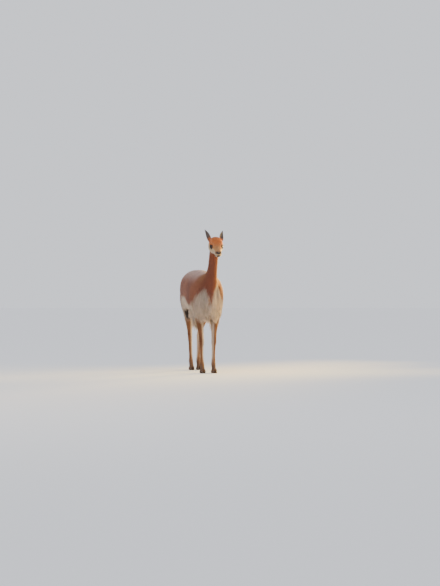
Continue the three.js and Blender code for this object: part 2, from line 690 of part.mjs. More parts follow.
// Finishes
const FAWN = new THREE.MeshStandardMaterial({ color: 0x9c6238, roughness: 0.95 });
const CREAM = new THREE.MeshStandardMaterial({ color: 0xd8c8ac, roughness: 0.95 });
const TAN = new THREE.MeshStandardMaterial({ color: 0xa87c50, roughness: 0.9 });
const EYE = new THREE.MeshStandardMaterial({ color: 0x120c08, roughness: 0.08 });
const HORN = new THREE.MeshStandardMaterial({ color: 0x2a2320, roughness: 0.5 });
const FINISHES = [
  [/^eye/, EYE],
  [/^nail/, HORN],
  [/^(leg|foot)/, TAN],
  [/^(head|neck|torso|ear)/, FAWN],
  [/./, CREAM],
];

function meshOf(name, made) {
  const { numProp, vertProperties, triVerts } = made.getMesh();
  const geometry = new THREE.BufferGeometry();
  const corners = new Float32Array((vertProperties.length / numProp) * 3);
  for (let i = 0; i < corners.length / 3; i++) {
    corners.set(vertProperties.subarray(i * numProp, i * numProp + 3), 3 * i);
  }
  geometry.setAttribute("position", new THREE.BufferAttribute(corners, 3));
  geometry.setIndex(new THREE.BufferAttribute(new Uint32Array(triVerts), 1));
  const finish = FINISHES.find(([pattern]) => pattern.test(name))[1];
  const mesh = new THREE.Mesh(geometry, finish);
  mesh.name = name;
  return mesh;
}

// The group stands on the floor with its origin under the middle of its box
const vicuna = new THREE.Group();
for (const [name, made] of nodes) vicuna.add(meshOf(name, made));
const box = new THREE.Box3().setFromObject(vicuna);
const middle = box.getCenter(point());
vicuna.position.set(-middle.x, -middle.y, -box.min.z);

export default vicuna;
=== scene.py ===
import math
import bmesh
import bpy
import numpy as np
from mathutils import Matrix, Vector, kdtree
from mathutils.bvhtree import BVHTree


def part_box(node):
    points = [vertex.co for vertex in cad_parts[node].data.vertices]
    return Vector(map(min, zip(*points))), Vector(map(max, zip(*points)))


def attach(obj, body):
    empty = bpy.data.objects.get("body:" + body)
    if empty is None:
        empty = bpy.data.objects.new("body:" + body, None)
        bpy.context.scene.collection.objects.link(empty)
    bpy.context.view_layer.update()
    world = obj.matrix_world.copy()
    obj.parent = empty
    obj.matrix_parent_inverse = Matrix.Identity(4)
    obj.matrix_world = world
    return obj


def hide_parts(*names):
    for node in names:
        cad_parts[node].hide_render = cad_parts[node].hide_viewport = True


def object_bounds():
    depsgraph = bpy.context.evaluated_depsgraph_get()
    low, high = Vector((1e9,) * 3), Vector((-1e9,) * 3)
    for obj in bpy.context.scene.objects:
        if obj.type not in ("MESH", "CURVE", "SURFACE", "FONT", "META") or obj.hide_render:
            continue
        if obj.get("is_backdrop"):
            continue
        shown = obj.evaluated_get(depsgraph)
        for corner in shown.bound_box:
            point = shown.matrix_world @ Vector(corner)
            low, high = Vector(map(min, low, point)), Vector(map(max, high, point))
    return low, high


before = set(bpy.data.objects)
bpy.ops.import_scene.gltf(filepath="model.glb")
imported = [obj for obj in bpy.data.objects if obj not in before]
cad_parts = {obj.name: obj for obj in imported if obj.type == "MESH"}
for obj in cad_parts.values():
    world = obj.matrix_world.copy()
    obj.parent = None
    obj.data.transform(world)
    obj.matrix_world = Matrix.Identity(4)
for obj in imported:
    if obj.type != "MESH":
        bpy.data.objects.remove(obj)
cad_box = [list(corner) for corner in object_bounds()]

# The view: a long lens, level and a little to the animal's right of straight ahead, and far enough off
# that little of its depth shows. The floor is plain and pale, and the light is a soft studio's with low
# warm sun on the animal's left.
IMAGE_HEIGHT = 586
IMAGE_MIDDLE = (220, 293)
FOCAL_PIXELS = 1411.8
AIM = Vector((0, -0.30, 0.67))
AIM_PIXEL = (210.9, 295)
AZIMUTH = math.radians(-12.5)
CAMERA_DISTANCE = 12.0
FLOOR_RADIUS = 60
FLOOR_COLOUR = (0.965, 0.965, 0.97, 1)
FLOOR_SPECK = (0.935, 0.94, 0.95, 1)
SKY_COLOUR = (0.84, 0.865, 0.93, 1)
SKY_STRENGTH = 1.16
SUN_SPREAD = math.radians(40)
# name, place, size, power, spread, colour
LAMPS = [
    ("key", (-3.4, -4.2, 3.8), 3.6, 42, math.pi, (1.0, 0.97, 0.95)),
    ("low_sun", (4.1, -0.5, 1.0), 1.1, 25, SUN_SPREAD, (1.0, 0.68, 0.13)),
    ("rim", (3.1, 2.6, 1.1), 1.2, 42, SUN_SPREAD, (1.0, 0.64, 0.12)),
]

ahead = Vector((-math.sin(AZIMUTH), math.cos(AZIMUTH), 0))
camera = bpy.data.objects.new("camera", bpy.data.cameras.new("camera"))
bpy.context.collection.objects.link(camera)
camera.data.angle = 2 * math.atan(IMAGE_HEIGHT / 2 / FOCAL_PIXELS)
camera.location = AIM - ahead * CAMERA_DISTANCE
turn = math.atan((IMAGE_MIDDLE[0] - AIM_PIXEL[0]) / FOCAL_PIXELS)
tilt = math.atan((AIM_PIXEL[1] - IMAGE_MIDDLE[1]) / FOCAL_PIXELS)
camera.rotation_euler = (math.pi / 2 + tilt, 0, AZIMUTH - turn)
bpy.context.scene.camera = camera

for name, place, size, power, spread, colour in LAMPS:
    lamp = bpy.data.lights.new(name, "AREA")
    lamp.size, lamp.energy, lamp.spread, lamp.color = size, power, spread, colour
    holder = bpy.data.objects.new(name, lamp)
    holder.location = place
    holder.visible_camera = False
    holder.rotation_euler = (AIM - Vector(place)).to_track_quat("-Z", "Y").to_euler()
    bpy.context.collection.objects.link(holder)
world = bpy.data.worlds.new("studio")
world.use_nodes = True
world.node_tree.nodes["Background"].inputs["Color"].default_value = SKY_COLOUR
world.node_tree.nodes["Background"].inputs["Strength"].default_value = SKY_STRENGTH
bpy.context.scene.world = world


def piece_of(name, bm):
    mesh = bpy.data.meshes.new(name)
    bmesh.ops.recalc_face_normals(bm, faces=bm.faces)
    bm.to_mesh(mesh)
    bm.free()
    for face in mesh.polygons:
        face.use_smooth = True
    made = bpy.data.objects.new(name, mesh)
    bpy.context.collection.objects.link(made)
    return made


class Wire:
    """A socket of a material, so that its sums are written as plain ones."""

    def __init__(self, tree, socket=None):
        self.tree, self.socket = tree, socket

    def node(self, kind, settings=(), sockets=(), output=0):
        made = self.tree.nodes.new(kind)
        for key, value in dict(settings).items():
            setattr(made, key, value)
        for key, value in dict(sockets).items():
            if isinstance(value, Wire):
                self.tree.links.new(value.socket, made.inputs[key])
            else:
                made.inputs[key].default_value = value
        return Wire(self.tree, made.outputs[output])

    def sum(self, operation, other, swapped=False):
        pair = (other, self) if swapped else (self, other)
        return self.node("ShaderNodeMath", {"operation": operation}, enumerate(pair))

    def __add__(self, other):
        return self.sum("ADD", other)

    def __mul__(self, other):
        return self.sum("MULTIPLY", other)

    def __rsub__(self, other):
        return self.sum("SUBTRACT", other, True)

    __radd__, __rmul__ = __add__, __mul__

    def blend(self, low, high):
        """From the low colour to the high one, by this share of the way."""
        return self.node("ShaderNodeMix", {"data_type": "RGBA"}, {0: self, 6: low, 7: high}, 2)


def material(name, **fixed):
    made = bpy.data.materials.new(name)
    made.use_nodes = True
    surface = made.node_tree.nodes["Principled BSDF"]
    for key, value in fixed.items():
        surface.inputs[key.replace("_", " ").title().replace("Ior", "IOR")].default_value = value
    return made, Wire(made.node_tree), surface


def feed(wires, surface, **links):
    for key, wire in links.items():
        wires.tree.links.new(wire.socket, surface.inputs[key.replace("_", " ").title()])


def object_place(wires):
    return wires.node("ShaderNodeTexCoord", output=3)


def noise(at, scale, detail, roughness=0.5):
    sockets = {"Vector": at, "Scale": scale, "Detail": detail, "Roughness": roughness}
    return at.node("ShaderNodeTexNoise", {}, sockets)


bm = bmesh.new()
bmesh.ops.create_circle(bm, cap_ends=True, segments=96, radius=FLOOR_RADIUS)
floor = piece_of("floor", bm)
floor_finish, wires, surface = material("floor_paint", base_color=FLOOR_COLOUR, roughness=0.9)
speckled = noise(object_place(wires), 40, 6).blend(FLOOR_COLOUR, FLOOR_SPECK)
feed(wires, surface, base_color=speckled)
floor.data.materials.append(floor_finish)
floor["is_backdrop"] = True

# The flesh under the coat, in one skin from the poll to the toes: trunk and neck between their top line
# and underline, four legs, two-toed feet and the tail's bone. It lies inside the solids by the depth of
# the coat, and the head and ears are joined to it further on.
MM = 0.001
POLL = Vector((31, -400, 1110)) * MM
HEAD_PITCH = math.radians(24)
HEAD_YAW = math.radians(-4)
EYE_AT = Vector((41.5, -104, 11)) * MM
HEAD_TURN = Matrix.Rotation(HEAD_YAW, 4, "Z") @ Matrix.Rotation(HEAD_PITCH, 4, "X")
left_eye = sum(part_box("eye_left"), Vector()) / 2
SHIFT = left_eye - POLL - HEAD_TURN @ EYE_AT
HEAD_FRAME = Matrix.Translation(POLL + SHIFT) @ HEAD_TURN

# distance back and height on the top line, the same on the underline, half width, lean to the left
TRUNK_ROWS = MM * np.array([
    [366, 806, 378, 702, 54, 0],
    [350, 842, 370, 642, 94, 0],
    [316, 868, 342, 594, 122, 0],
    [262, 884, 283, 558, 137, 0],
    [190, 892, 200, 532, 145, 0],
    [100, 892, 100, 510, 150, 0],
    [10, 884, 10, 496, 152, 0],
    [-70, 873, -75, 487, 151, 0],
    [-135, 863, -150, 483, 150, 0],
    [-188, 856, -225, 485, 147, 0],
    [-213, 854, -292, 498, 138, 1],
    [-226, 855, -342, 532, 122, 3],
    [-237, 858, -372, 582, 101, 6],
    [-248, 863, -385, 640, 80, 10],
    [-260, 870, -388, 705, 59, 14],
    [-275, 882, -389, 768, 45, 18],
    [-295, 908, -396, 832, 39.5, 21],
    [-314, 948, -408, 898, 37.5, 23],
    [-334, 1002, -424, 966, 37, 25],
    [-352, 1056, -443, 1030, 38.5, 27],
    [-367, 1098, -455, 1070, 40, 29],
    [-383, 1127, -452, 1092, 36, 30],
    [-404, 1147, -444, 1116, 24, 31],
])
# outward, distance back, height, half width, depth ahead, depth behind
FORE_ROWS = MM * np.array([
    [80, -232, 640, 40, 60, 60],
    [81, -230, 570, 47, 62, 62],
    [75, -230, 505, 42, 52, 54],
    [67, -238, 440, 32, 37, 39],
    [61, -246, 390, 25, 29, 31],
    [57, -254, 330, 20.5, 23, 24],
    [55, -260, 285, 20, 22, 20],
    [54, -261, 262, 20, 22, 20],
    [53, -258, 228, 15.5, 17, 18],
    [52, -256, 165, 13.5, 15, 16.5],
    [51, -257, 110, 14.5, 16, 17],
    [50, -260, 82, 17, 17, 21],
    [50, -271, 54, 16, 17, 18],
    [50, -284, 32, 17, 22, 20],
    [50, -302, 20, 13, 16, 16],
])
HIND_ROWS = MM * np.array([
    [78, 240, 735, 52, 92, 108],
    [80, 228, 670, 60, 114, 128],
    [80, 214, 600, 57, 112, 124],
    [75, 206, 535, 48, 96, 100],
    [66, 222, 468, 36, 63, 64],
    [56, 246, 410, 27, 39, 37],
    [49, 270, 358, 20, 24, 28],
    [44, 284, 318, 18, 23, 27],
    [42, 287, 285, 17, 22, 21],
    [40, 286, 240, 14.5, 17, 17],
    [38, 283, 170, 13.5, 15.5, 15.5],
    [36, 280, 112, 14.5, 16, 16],
    [36, 276, 84, 17, 17, 20],
    [36, 264, 56, 16, 17, 18],
    [36, 250, 32, 17, 22, 20],
    [36, 232, 20, 13, 16, 16],
])
TAIL_ROWS = MM * np.array([
    [0, 335, 816, 20, 20, 20],
    [0, 374, 808, 22, 22, 22],
    [0, 397, 780, 21, 21, 21],
    [0, 405, 735, 18, 18, 18],
    [0, 406, 690, 15, 15, 15],
    [0, 404, 650, 9, 9, 9],
])
STAGGER = 24 * MM
HIP_HEIGHT = 0.64
# side, rows, how far the foot is set back, distance back of the foot and out to it
LEGS = [
    (1, FORE_ROWS, 0, -290 * MM, 50 * MM),
    (-1, FORE_ROWS, 0, -290 * MM, 50 * MM),
    (1, HIND_ROWS, STAGGER, 244 * MM + STAGGER, 36 * MM),
    (-1, HIND_ROWS, 0, 244 * MM, 36 * MM),
]
# how far inside the solids the skin lies; on the lower legs it starts outside, as smoothing draws it in
WOOL_DEPTH = 0.0105
CHEST_DEPTH = 0.026
NECK_DEPTH = 0.005
HAUNCH_DEPTH = 0.010
LEG_DEPTH = -0.0010
VOXEL = 0.0052
FETLOCK = 0.085


def catmull(rows, t):
    """Smooth values between rows, at shares of their length."""
    place = np.clip(t, 0, 1) * (len(rows) - 1)
    low = np.minimum(place.astype(int), len(rows) - 2)
    f = (place - low)[:, None]
    ends = np.vstack([2 * rows[0] - rows[1], rows, 2 * rows[-1] - rows[-2]])
    a, b, c, d = (ends[low + k] for k in range(4))
    return b + f * ((c - a) + f * (2 * a - 5 * b + 4 * c - d + f * (3 * (b - c) + d - a))) / 2


def smooth(x, low, high):
    x = np.clip((x - low) / (high - low), 0, 1)
    return x * x * (3 - 2 * x)


def fading(x, low, high):
    return 1 - smooth(x, low, high)


def bump(value, middle, spread):
    return np.exp(-(((value - middle) / spread) ** 2))


def squarer(angle, squareness):
    sides = np.cos(angle), np.sin(angle)
    return [np.sign(v) * np.abs(v) ** (2 / squareness) for v in sides]


def trunk_skin(t, angle, grow=0.0):
    rows = catmull(TRUNK_ROWS, t)
    top, under, half, lean = rows[:, 0:2], rows[:, 2:4], rows[:, 4], rows[:, 5]
    up = (top - under) / 2
    length = np.linalg.norm(up, axis=1)
    up *= ((length + grow) / length)[:, None]
    out, rise = squarer(angle, 2.3)
    middle = (top + under) / 2 + up * rise[:, None]
    return np.column_stack([lean + out * (half + grow), middle])


def trunk_flesh(t, angle):
    neck = smooth(t, 0.58, 0.68)
    chest = smooth(t, 0.42, 0.5) * smooth(-np.sin(angle), -0.2, 0.5)
    wool = WOOL_DEPTH + (CHEST_DEPTH - WOOL_DEPTH) * chest
    return trunk_skin(t, angle, -(wool * (1 - neck) + NECK_DEPTH * neck))


def limb_skin(stations, t, angle, grow=0.0, square=2.0):
    rows = catmull(stations, t)
    step = 1e-3
    along = catmull(stations[:, :3], t + step) - catmull(stations[:, :3], t - step)
    along /= np.linalg.norm(along, axis=1)[:, None]
    side = np.array([1.0, 0, 0]) - along * along[:, :1]
    side /= np.linalg.norm(side, axis=1)[:, None]
    up = np.cross(along, side)
    out, rise = squarer(angle, square)
    size = rows[:, 3:6] + np.broadcast_to(grow, (len(rows),))[:, None]
    deep = np.where(rise > 0, size[:, 1], size[:, 2])
    return rows[:, :3] + side * (out * size[:, 0])[:, None] + up * (rise * deep)[:, None]


def limb(stations, grow=0.0, square=2.0):
    return lambda t, angle: limb_skin(stations, t, angle, grow, square)


def leg_flesh(side, rows, set_back):
    """The skin of a leg that swings from the hip until its foot is set back so far."""
    swing = set_back * np.clip(1 - rows[:, 2] / HIP_HEIGHT, 0, 1)
    stations = np.column_stack([side * rows[:, 0], rows[:, 1] + swing, rows[:, 2:]])

    def place(t, angle):
        thigh = smooth(catmull(stations, t)[:, 2], 0.38, 0.56)
        return limb_skin(stations, t, angle, -(LEG_DEPTH + (HAUNCH_DEPTH - LEG_DEPTH) * thigh))
    return place


def loft(bm, sides, rings, place, cap=0.0):
    """A closed ball whose rings are carried to place(share of the length, angle round)."""
    verts = bmesh.ops.create_uvsphere(bm, u_segments=sides, v_segments=rings, radius=1)["verts"]
    ball = np.array([v.co for v in verts])
    share = np.arccos(np.clip(ball[:, 2], -1, 1)) / math.pi
    angle = np.arctan2(ball[:, 1], ball[:, 0])
    t = np.clip((share * rings - 1) / (rings - 2), 0, 1)
    put = place(t, angle)
    for pole in (0, 1):
        at = np.abs(share - pole) < 0.5 / rings
        ring = put[t == pole]
        inward = place(np.full(8, abs(pole - 0.02)), np.linspace(0, 2 * math.pi, 9)[:8]).mean(0)
        middle = ring.mean(0)
        out = middle - inward
        put[at] = middle + out / max(np.linalg.norm(out), 1e-9) * cap
    for vert, co in zip(verts, put):
        vert.co = co
    return verts


def egg(bm, centre, sizes, tipped=0, turned=0):
    """An egg by its half sizes, tipped about X and then turned about Z, in degrees."""
    turn = Matrix.Rotation(math.radians(turned), 3, "Z") @ Matrix.Rotation(math.radians(tipped), 3, "X")
    placed = Matrix.LocRotScale(centre, turn.to_quaternion(), sizes)
    bmesh.ops.create_uvsphere(bm, u_segments=28, v_segments=18, radius=1, matrix=placed)


def applied(thing, kind, **settings):
    """Runs one modifier and keeps its result as the mesh."""
    modifier = thing.modifiers.new(kind.lower(), kind)
    for key, value in settings.items():
        setattr(modifier, key, value)
    bpy.context.view_layer.update()
    graph = bpy.context.evaluated_depsgraph_get()
    old = thing.data
    thing.data = bpy.data.meshes.new_from_object(thing.evaluated_get(graph))
    thing.modifiers.clear()
    bpy.data.meshes.remove(old)


def joined(thing, others, operation="UNION"):
    for other in others:
        applied(thing, "BOOLEAN", operation=operation, object=other, solver="MANIFOLD")
        bpy.data.objects.remove(other)


def soften(bm, verts, times):
    axes = {"use_axis_" + axis: True for axis in "xyz"}
    for _ in range(times):
        bmesh.ops.smooth_vert(bm, verts=verts, factor=0.5, **axes)


def soften_bands(mesh, bands, lowest=-1.0):
    """Smooths the mesh between heights, each band so many times, and flattens it below the lowest."""
    bm = bmesh.new()
    bm.from_mesh(mesh)
    for low, high, times in bands:
        soften(bm, [v for v in bm.verts if low < v.co.z <= high], times)
    for vert in bm.verts:
        vert.co.z = max(vert.co.z, lowest)
    bm.to_mesh(mesh)
    bm.free()


bm = bmesh.new()
loft(bm, 72, 150, trunk_flesh, 0.006)
for side, rows, set_back, foot, stance in LEGS:
    loft(bm, 32, 80, leg_flesh(side, rows, set_back), 0.004)
loft(bm, 24, 40, limb(TAIL_ROWS), 0.008)
bmesh.ops.translate(bm, verts=bm.verts, vec=SHIFT)
body = piece_of("body", bm)
applied(body, "REMESH", mode="VOXEL", voxel_size=VOXEL)
soften_bands(body.data, [(FETLOCK, 9, 6), (-9, FETLOCK, 2)])

TOE = Vector((11.2, 32.6, 23.6)) * MM
TOE_SPREAD = 12.1 * MM
HEEL = Vector((18.4, 19.4, 18.6)) * MM
HEEL_BACK = 18 * MM
SOLE = 13.6 * MM
FLAT = 0.0004
for part in ("inner", "outer", "heel"):
    bm = bmesh.new()
    for side, rows, set_back, foot, stance in LEGS:
        middle = Vector((side * stance, foot, SOLE)) + SHIFT
        middle.z = SOLE
        if part == "heel":
            egg(bm, middle + Vector((0, HEEL_BACK, 0)), HEEL)
        else:
            way = -1 if part == "inner" else 1
            egg(bm, middle + Vector((way * TOE_SPREAD, 0, 0)), TOE, -8, -4 * way)
    joined(body, [piece_of(part, bm)])
soften_bands(body.data, [(0.018, 0.05, 3)], FLAT)

# The head, bare under its short hair: long skull, high brow, cheekbones, narrow muzzle with its cleft
# upper lip, the line of the mouth, slit nostrils and the sockets with their lids. The ears are thin
# rolled leaves. All of it grows into the skin of the neck.
FACE_DEPTH = 0.0025
# distance from the poll, height above the axis, depth below it, half width, height of the axis
HEAD_ROWS = MM * np.array([
    [-14, 34, 34, 30, 0],
    [4, 56, 50, 47, 0],
    [30, 69, 60, 57, 0],
    [58, 70, 63, 59, 0],
    [85, 60, 61, 55, 0],
    [110, 45, 56, 47.5, 0],
    [135, 34, 50, 38.5, 0],
    [160, 27, 45, 31.5, 0],
    [185, 23, 40, 28, -1],
    [208, 22.5, 33.5, 27, -3.5],
    [224, 21.5, 26, 23.5, -6.5],
    [234, 16.5, 16.5, 17, -8],
    [239, 9.5, 9.5, 10.5, -8.5],
    [241.4, 3.6, 3.6, 4.4, -8.5],
])
# distance from the poll, degrees up from the side, length, spread in degrees, height
FACE_SWELLINGS = [
    (98, 40, 26, 18, 6),
    (104, 10, 28, 20, 5),
    (112, -14, 34, 18, 4.5),
    (56, -34, 30, 30, 3),
    (219, 44, 11, 20, 4),
    (207, -12, 26, 16, 3.5),
    (205, -56, 20, 18, 2.5),
    (218, -80, 11, 34, 5),
]
HEAD_STATIONS = np.column_stack([0 * HEAD_ROWS[:, 0], -HEAD_ROWS[:, 0], HEAD_ROWS[:, [4, 3, 1, 2]]])
EYE_RADIUS = 0.0145
LOOK = Vector((0.9, -0.42, 0.1)).normalized()
LIDS = np.array([0.0172, 0.0236, 0.0166])
LID_TILT = math.radians(8)
LID_HALF_LENGTH = 0.0139
LID_HALF_HEIGHT = 0.0114
EYE_SUNK = 0.0035
# out from the middle, distance back and height of a nostril's slit, half width, depth ahead, behind
NOSTRIL_ROWS = MM * np.array([
    [8.0, -236.6, 0.4, 0.5, 2.5, 2.5],
    [8.6, -236.6, 2.0, 1.5, 5, 5],
    [9.4, -235.2, 4.4, 2.3, 6.5, 6.5],
    [10.6, -232.2, 7.2, 2.4, 6.5, 6.5],
    [12.6, -228.0, 9.8, 1.7, 5.5, 5.5],
    [14.8, -223.6, 11.8, 0.5, 2.5, 2.5],
])
MOUTH_LINE = MM * np.array([[176, -25], [204, -20], [222, -20], [236, -18.5], [250, -17.5]])
MOUTH_DEPTH = 0.0040
LIP_HEIGHT = 0.0012
CLEFT_DEPTH = 0.0016
SNOUT_HEIGHT = 0.0008
FLARE_HEIGHT = 0.0011


def face_skin(t, angle):
    forward = -catmull(HEAD_STATIONS, t)[:, 1] / MM
    up = np.degrees(np.arcsin(np.sin(angle)))
    swell = np.zeros(len(t))
    for at, tilted, length, spread, height in FACE_SWELLINGS:
        swell += height * np.exp(-(((forward - at) / length) ** 2) - ((up - tilted) / spread) ** 2)
    depth = FACE_DEPTH * (1 - smooth(forward, 196, 222))
    return limb_skin(HEAD_STATIONS, t, angle, swell * MM - depth, 2.4)


def mouth_height(forward):
    return np.interp(forward, MOUTH_LINE[:, 0], MOUTH_LINE[:, 1])


def folded(points):
    """The points, with those of the right side brought over to the left."""
    return np.column_stack([np.abs(points[:, 0]), points[:, 1:]])


def eye_centre(side):
    return np.array([side * EYE_AT.x, EYE_AT.y, EYE_AT.z])


def eye_axes(side):
    """Along the lids, up and out of the eye, in the head's own frame."""
    look = np.array([side * LOOK.x, LOOK.y, LOOK.z])
    along = np.cross([0, 0, 1], look)
    along /= np.linalg.norm(along)
    return along, np.cross(look, along), look


def almond(u, v):
    """Below 1 inside the opening of the lids."""
    edge = LID_HALF_HEIGHT * np.clip(1 - (u / LID_HALF_LENGTH) ** 2, 0, None)
    return np.where(np.abs(u) < LID_HALF_LENGTH, np.abs(v) / np.maximum(edge, 1e-6), 9.0)


def sculpt_face(co, out):
    """Lids, mouth and cleft lip drawn into the plain head, in its own frame."""
    for side in (1, -1):
        along, up, look = eye_axes(side)
        away = co - eye_centre(side)
        tilted = LID_TILT * side
        turned = away @ np.array([
            [math.cos(tilted), math.sin(tilted), 0],
            [-math.sin(tilted), math.cos(tilted), 0],
            [0, 0, 1],
        ]).T
        deep = np.linalg.norm(turned / LIDS, axis=1)
        lifted = np.where(deep < 1, 1 / np.maximum(deep, 0.2), 1)
        outer = (away @ look) > -0.004
        away = np.where((outer & (deep < 1))[:, None], away * lifted[:, None], away)
        u, v, w = away @ along, away @ up, away @ look
        opening = (almond(u, v) < 1.0) & (w > 0)
        length = np.maximum(np.linalg.norm(away, axis=1), 1e-6)
        sunk = away * ((EYE_RADIUS - EYE_SUNK) / length)[:, None]
        away = np.where(opening[:, None], sunk, away)
        co = eye_centre(side) + away
    x, forward, high = co[:, 0], -co[:, 1], co[:, 2]
    line = mouth_height(forward)
    in_front = smooth(forward, 0.222, 0.232)
    mouth = bump(high, line, 0.0015) * smooth(forward, 0.172, 0.190) * (1 - 0.5 * in_front)
    lips = bump(np.abs(high - line), 0.0044, 0.0026) * smooth(forward, 0.178, 0.2)
    slit = catmull(NOSTRIL_ROWS[:, :3], np.linspace(0, 1, 30))
    to_slit = np.min([np.linalg.norm(folded(co) - at, axis=1) for at in slit], 0)
    flare = bump(to_slit, 0.0046, 0.0018)
    cleft = bump(x, 0, 0.0013) * in_front * smooth(high, -0.0185, -0.0125)
    cleft *= fading(high, -0.005, 0.001)
    snout = smooth(forward, 0.224, 0.234) * bump(x, 0, 0.012) * bump(high, -0.012, 0.004)
    depth = MOUTH_DEPTH * mouth - LIP_HEIGHT * lips + CLEFT_DEPTH * cleft - SNOUT_HEIGHT * snout
    return co - out * (depth - FLARE_HEIGHT * flare)[:, None]


bm = bmesh.new()
verts = loft(bm, 150, 176, face_skin, 0.0006)
bmesh.ops.recalc_face_normals(bm, faces=bm.faces)
bm.normal_update()
shaped = sculpt_face(np.array([v.co for v in verts]), np.array([v.normal for v in verts]))
for vert, co in zip(verts, shaped):
    vert.co = co
near_eyes = []
for vert in verts:
    away = min((vert.co - Vector(eye_centre(side))).length for side in (1, -1))
    if 0.0165 < away < 0.034:
        near_eyes.append(vert)
soften(bm, near_eyes, 4)
bmesh.ops.transform(bm, matrix=HEAD_FRAME, verts=bm.verts)
head = piece_of("head_skin", bm)

bm = bmesh.new()
for side in (1, -1):
    loft(bm, 24, 40, limb(NOSTRIL_ROWS * [side, 1, 1, 1, 1, 1]), 0.0002)
bmesh.ops.recalc_face_normals(bm, faces=bm.faces)
bmesh.ops.transform(bm, matrix=HEAD_FRAME, verts=bm.verts)
joined(head, [piece_of("nostrils", bm)], "DIFFERENCE")

EAR_AT = Vector((45, -22, 42)) * MM
# side, the way the ear points and the way its opening faces
EARS = [
    (1, (0.3, 0.68, 0.67), (0.12, -0.95, 0)),
    (-1, (-0.26, 0.62, 0.74), (-0.6, -0.8, 0)),
]
EAR_LENGTH = 0.118
EAR_ROOT = 0.028
EAR_HALF_WIDTH = 0.0190
EAR_WALL = 0.0026
EAR_BOW = 0.009
ROLL_AT_ROOT, ROLL_AT_TIP = 230, 70


def ear_leaf(t, angle):
    leaf = np.sin(math.pi * (0.22 + 0.76 * t))
    roll = np.radians(ROLL_AT_ROOT + (ROLL_AT_TIP - ROLL_AT_ROOT) * t ** 0.7)
    radius = EAR_HALF_WIDTH * leaf / np.sin(np.minimum(roll / 2, math.pi / 2))
    wall = EAR_WALL * np.abs(np.sin(angle)) ** 0.4
    outer = radius - np.where(np.sin(angle) > 0, 0, wall)
    turned = roll / 2 * np.cos(angle)
    back = EAR_BOW * np.sin(math.pi * t) - radius
    high = (EAR_LENGTH - MM + EAR_ROOT) * t - EAR_ROOT
    return np.column_stack([outer * np.sin(turned), back + outer * np.cos(turned), high])


def ear_frame(side, aim, faces):
    up = Vector(aim).normalized()
    back = -Vector(faces)
    back = (back - up * back.dot(up)).normalized()
    across = back.cross(up)
    root = HEAD_FRAME @ Vector((side * EAR_AT.x, EAR_AT.y, EAR_AT.z))
    turned = Matrix((across, back, up)).transposed()
    return Matrix.LocRotScale(root, turned.to_quaternion(), Vector((1, 1, 1)))


bm = bmesh.new()
for side, aim, faces in EARS:
    verts = loft(bm, 40, 44, ear_leaf, 0.0)
    bmesh.ops.transform(bm, matrix=ear_frame(side, aim, faces), verts=verts)
ears = piece_of("ears", bm)
joined(head, [ears])
joined(body, [head])
skin = body
skin.name = "skin"
FLESH = ("head", "ear", "neck", "torso", "tail", "thigh", "leg", "foot")
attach(skin, "root")
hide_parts(*[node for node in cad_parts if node.split("_")[0] in FLESH])

# The lie of the coat, read at every point of the skin: which part of the body the point is on, how far
# along and round it, and so which way the hair grows, how long, proud, wide and close it is. The values
# are evened out over the skin, so that one kind of coat runs into the next as it does on the animal.
TRUNK, LEG, TAIL, HEAD, EAR = range(5)
# length, how proud it stands, half width, roots to a square metre
WOOL = np.array([0.031, 0.0098, 0.0019, 56000])
FLANK = np.array([0.040, 0.0110, 0.0019, 54000])
UNDERSIDE = np.array([0.044, 0.011, 0.0018, 40000])
BIB = np.array([0.125, 0.020, 0.0018, 64000])
ELBOW = np.array([0.175, 0.010, 0.0017, 62000])
NECK = np.array([0.022, 0.0062, 0.0011, 150000])
HAUNCH = np.array([0.032, 0.0095, 0.0016, 56000])
SHIN = np.array([0.0120, 0.0024, 0.00085, 70000])
BRUSH = np.array([0.085, 0.011, 0.0016, 110000])
CROWN = np.array([0.0135, 0.0036, 0.0007, 280000])
CHEEK = np.array([0.0088, 0.0018, 0.00055, 330000])
MUZZLE = np.array([0.0042, 0.0008, 0.00035, 620000])
LEAF = np.array([0.0080, 0.0010, 0.0006, 240000])
LONG_HAIR = 0.06
SHORTEST_FRINGE = 0.03
FRINGE_RAGGED = 0.026
# heights where the long hair ends: between the legs, over the fore legs and behind the elbows
MIDDLE_END, BIB_END, ELBOW_END = 0.462, 0.415, 0.315
LIE_ROUNDS, COLOUR_ROUNDS = 14, 3


def numbers(mesh, what, each):
    found = np.empty(len(getattr(mesh, what[0])) * each)
    getattr(mesh, what[0]).foreach_get(what[1], found)
    return found.reshape(-1, each)


def unit(v):
    return v / np.maximum(np.linalg.norm(v, axis=-1, keepdims=True), 1e-9)


def turned_by(matrix, points, moved=True):
    m = np.array(matrix)
    return points @ m[:3, :3].T + (m[:3, 3] if moved else 0)


guides = []


def guide(part, which, sides, rings, place, matrix=None):
    """Points over a part's own shape, each with how far along, how far round and the way ahead."""
    t, a = np.meshgrid(np.linspace(0, 1, rings), np.linspace(-math.pi, math.pi, sides, endpoint=False))
    t, a = t.ravel(), a.ravel()
    ahead = place(np.minimum(t + 0.01, 1), a) - place(np.maximum(t - 0.01, 0), a)
    here = place(t, a)
    matrix = matrix or Matrix.Translation(SHIFT)
    here, ahead = turned_by(matrix, here), turned_by(matrix, ahead, False)
    kind = np.broadcast_to([part, which], (len(t), 2))
    guides.append(np.column_stack([here, kind, t, a, unit(ahead)]))


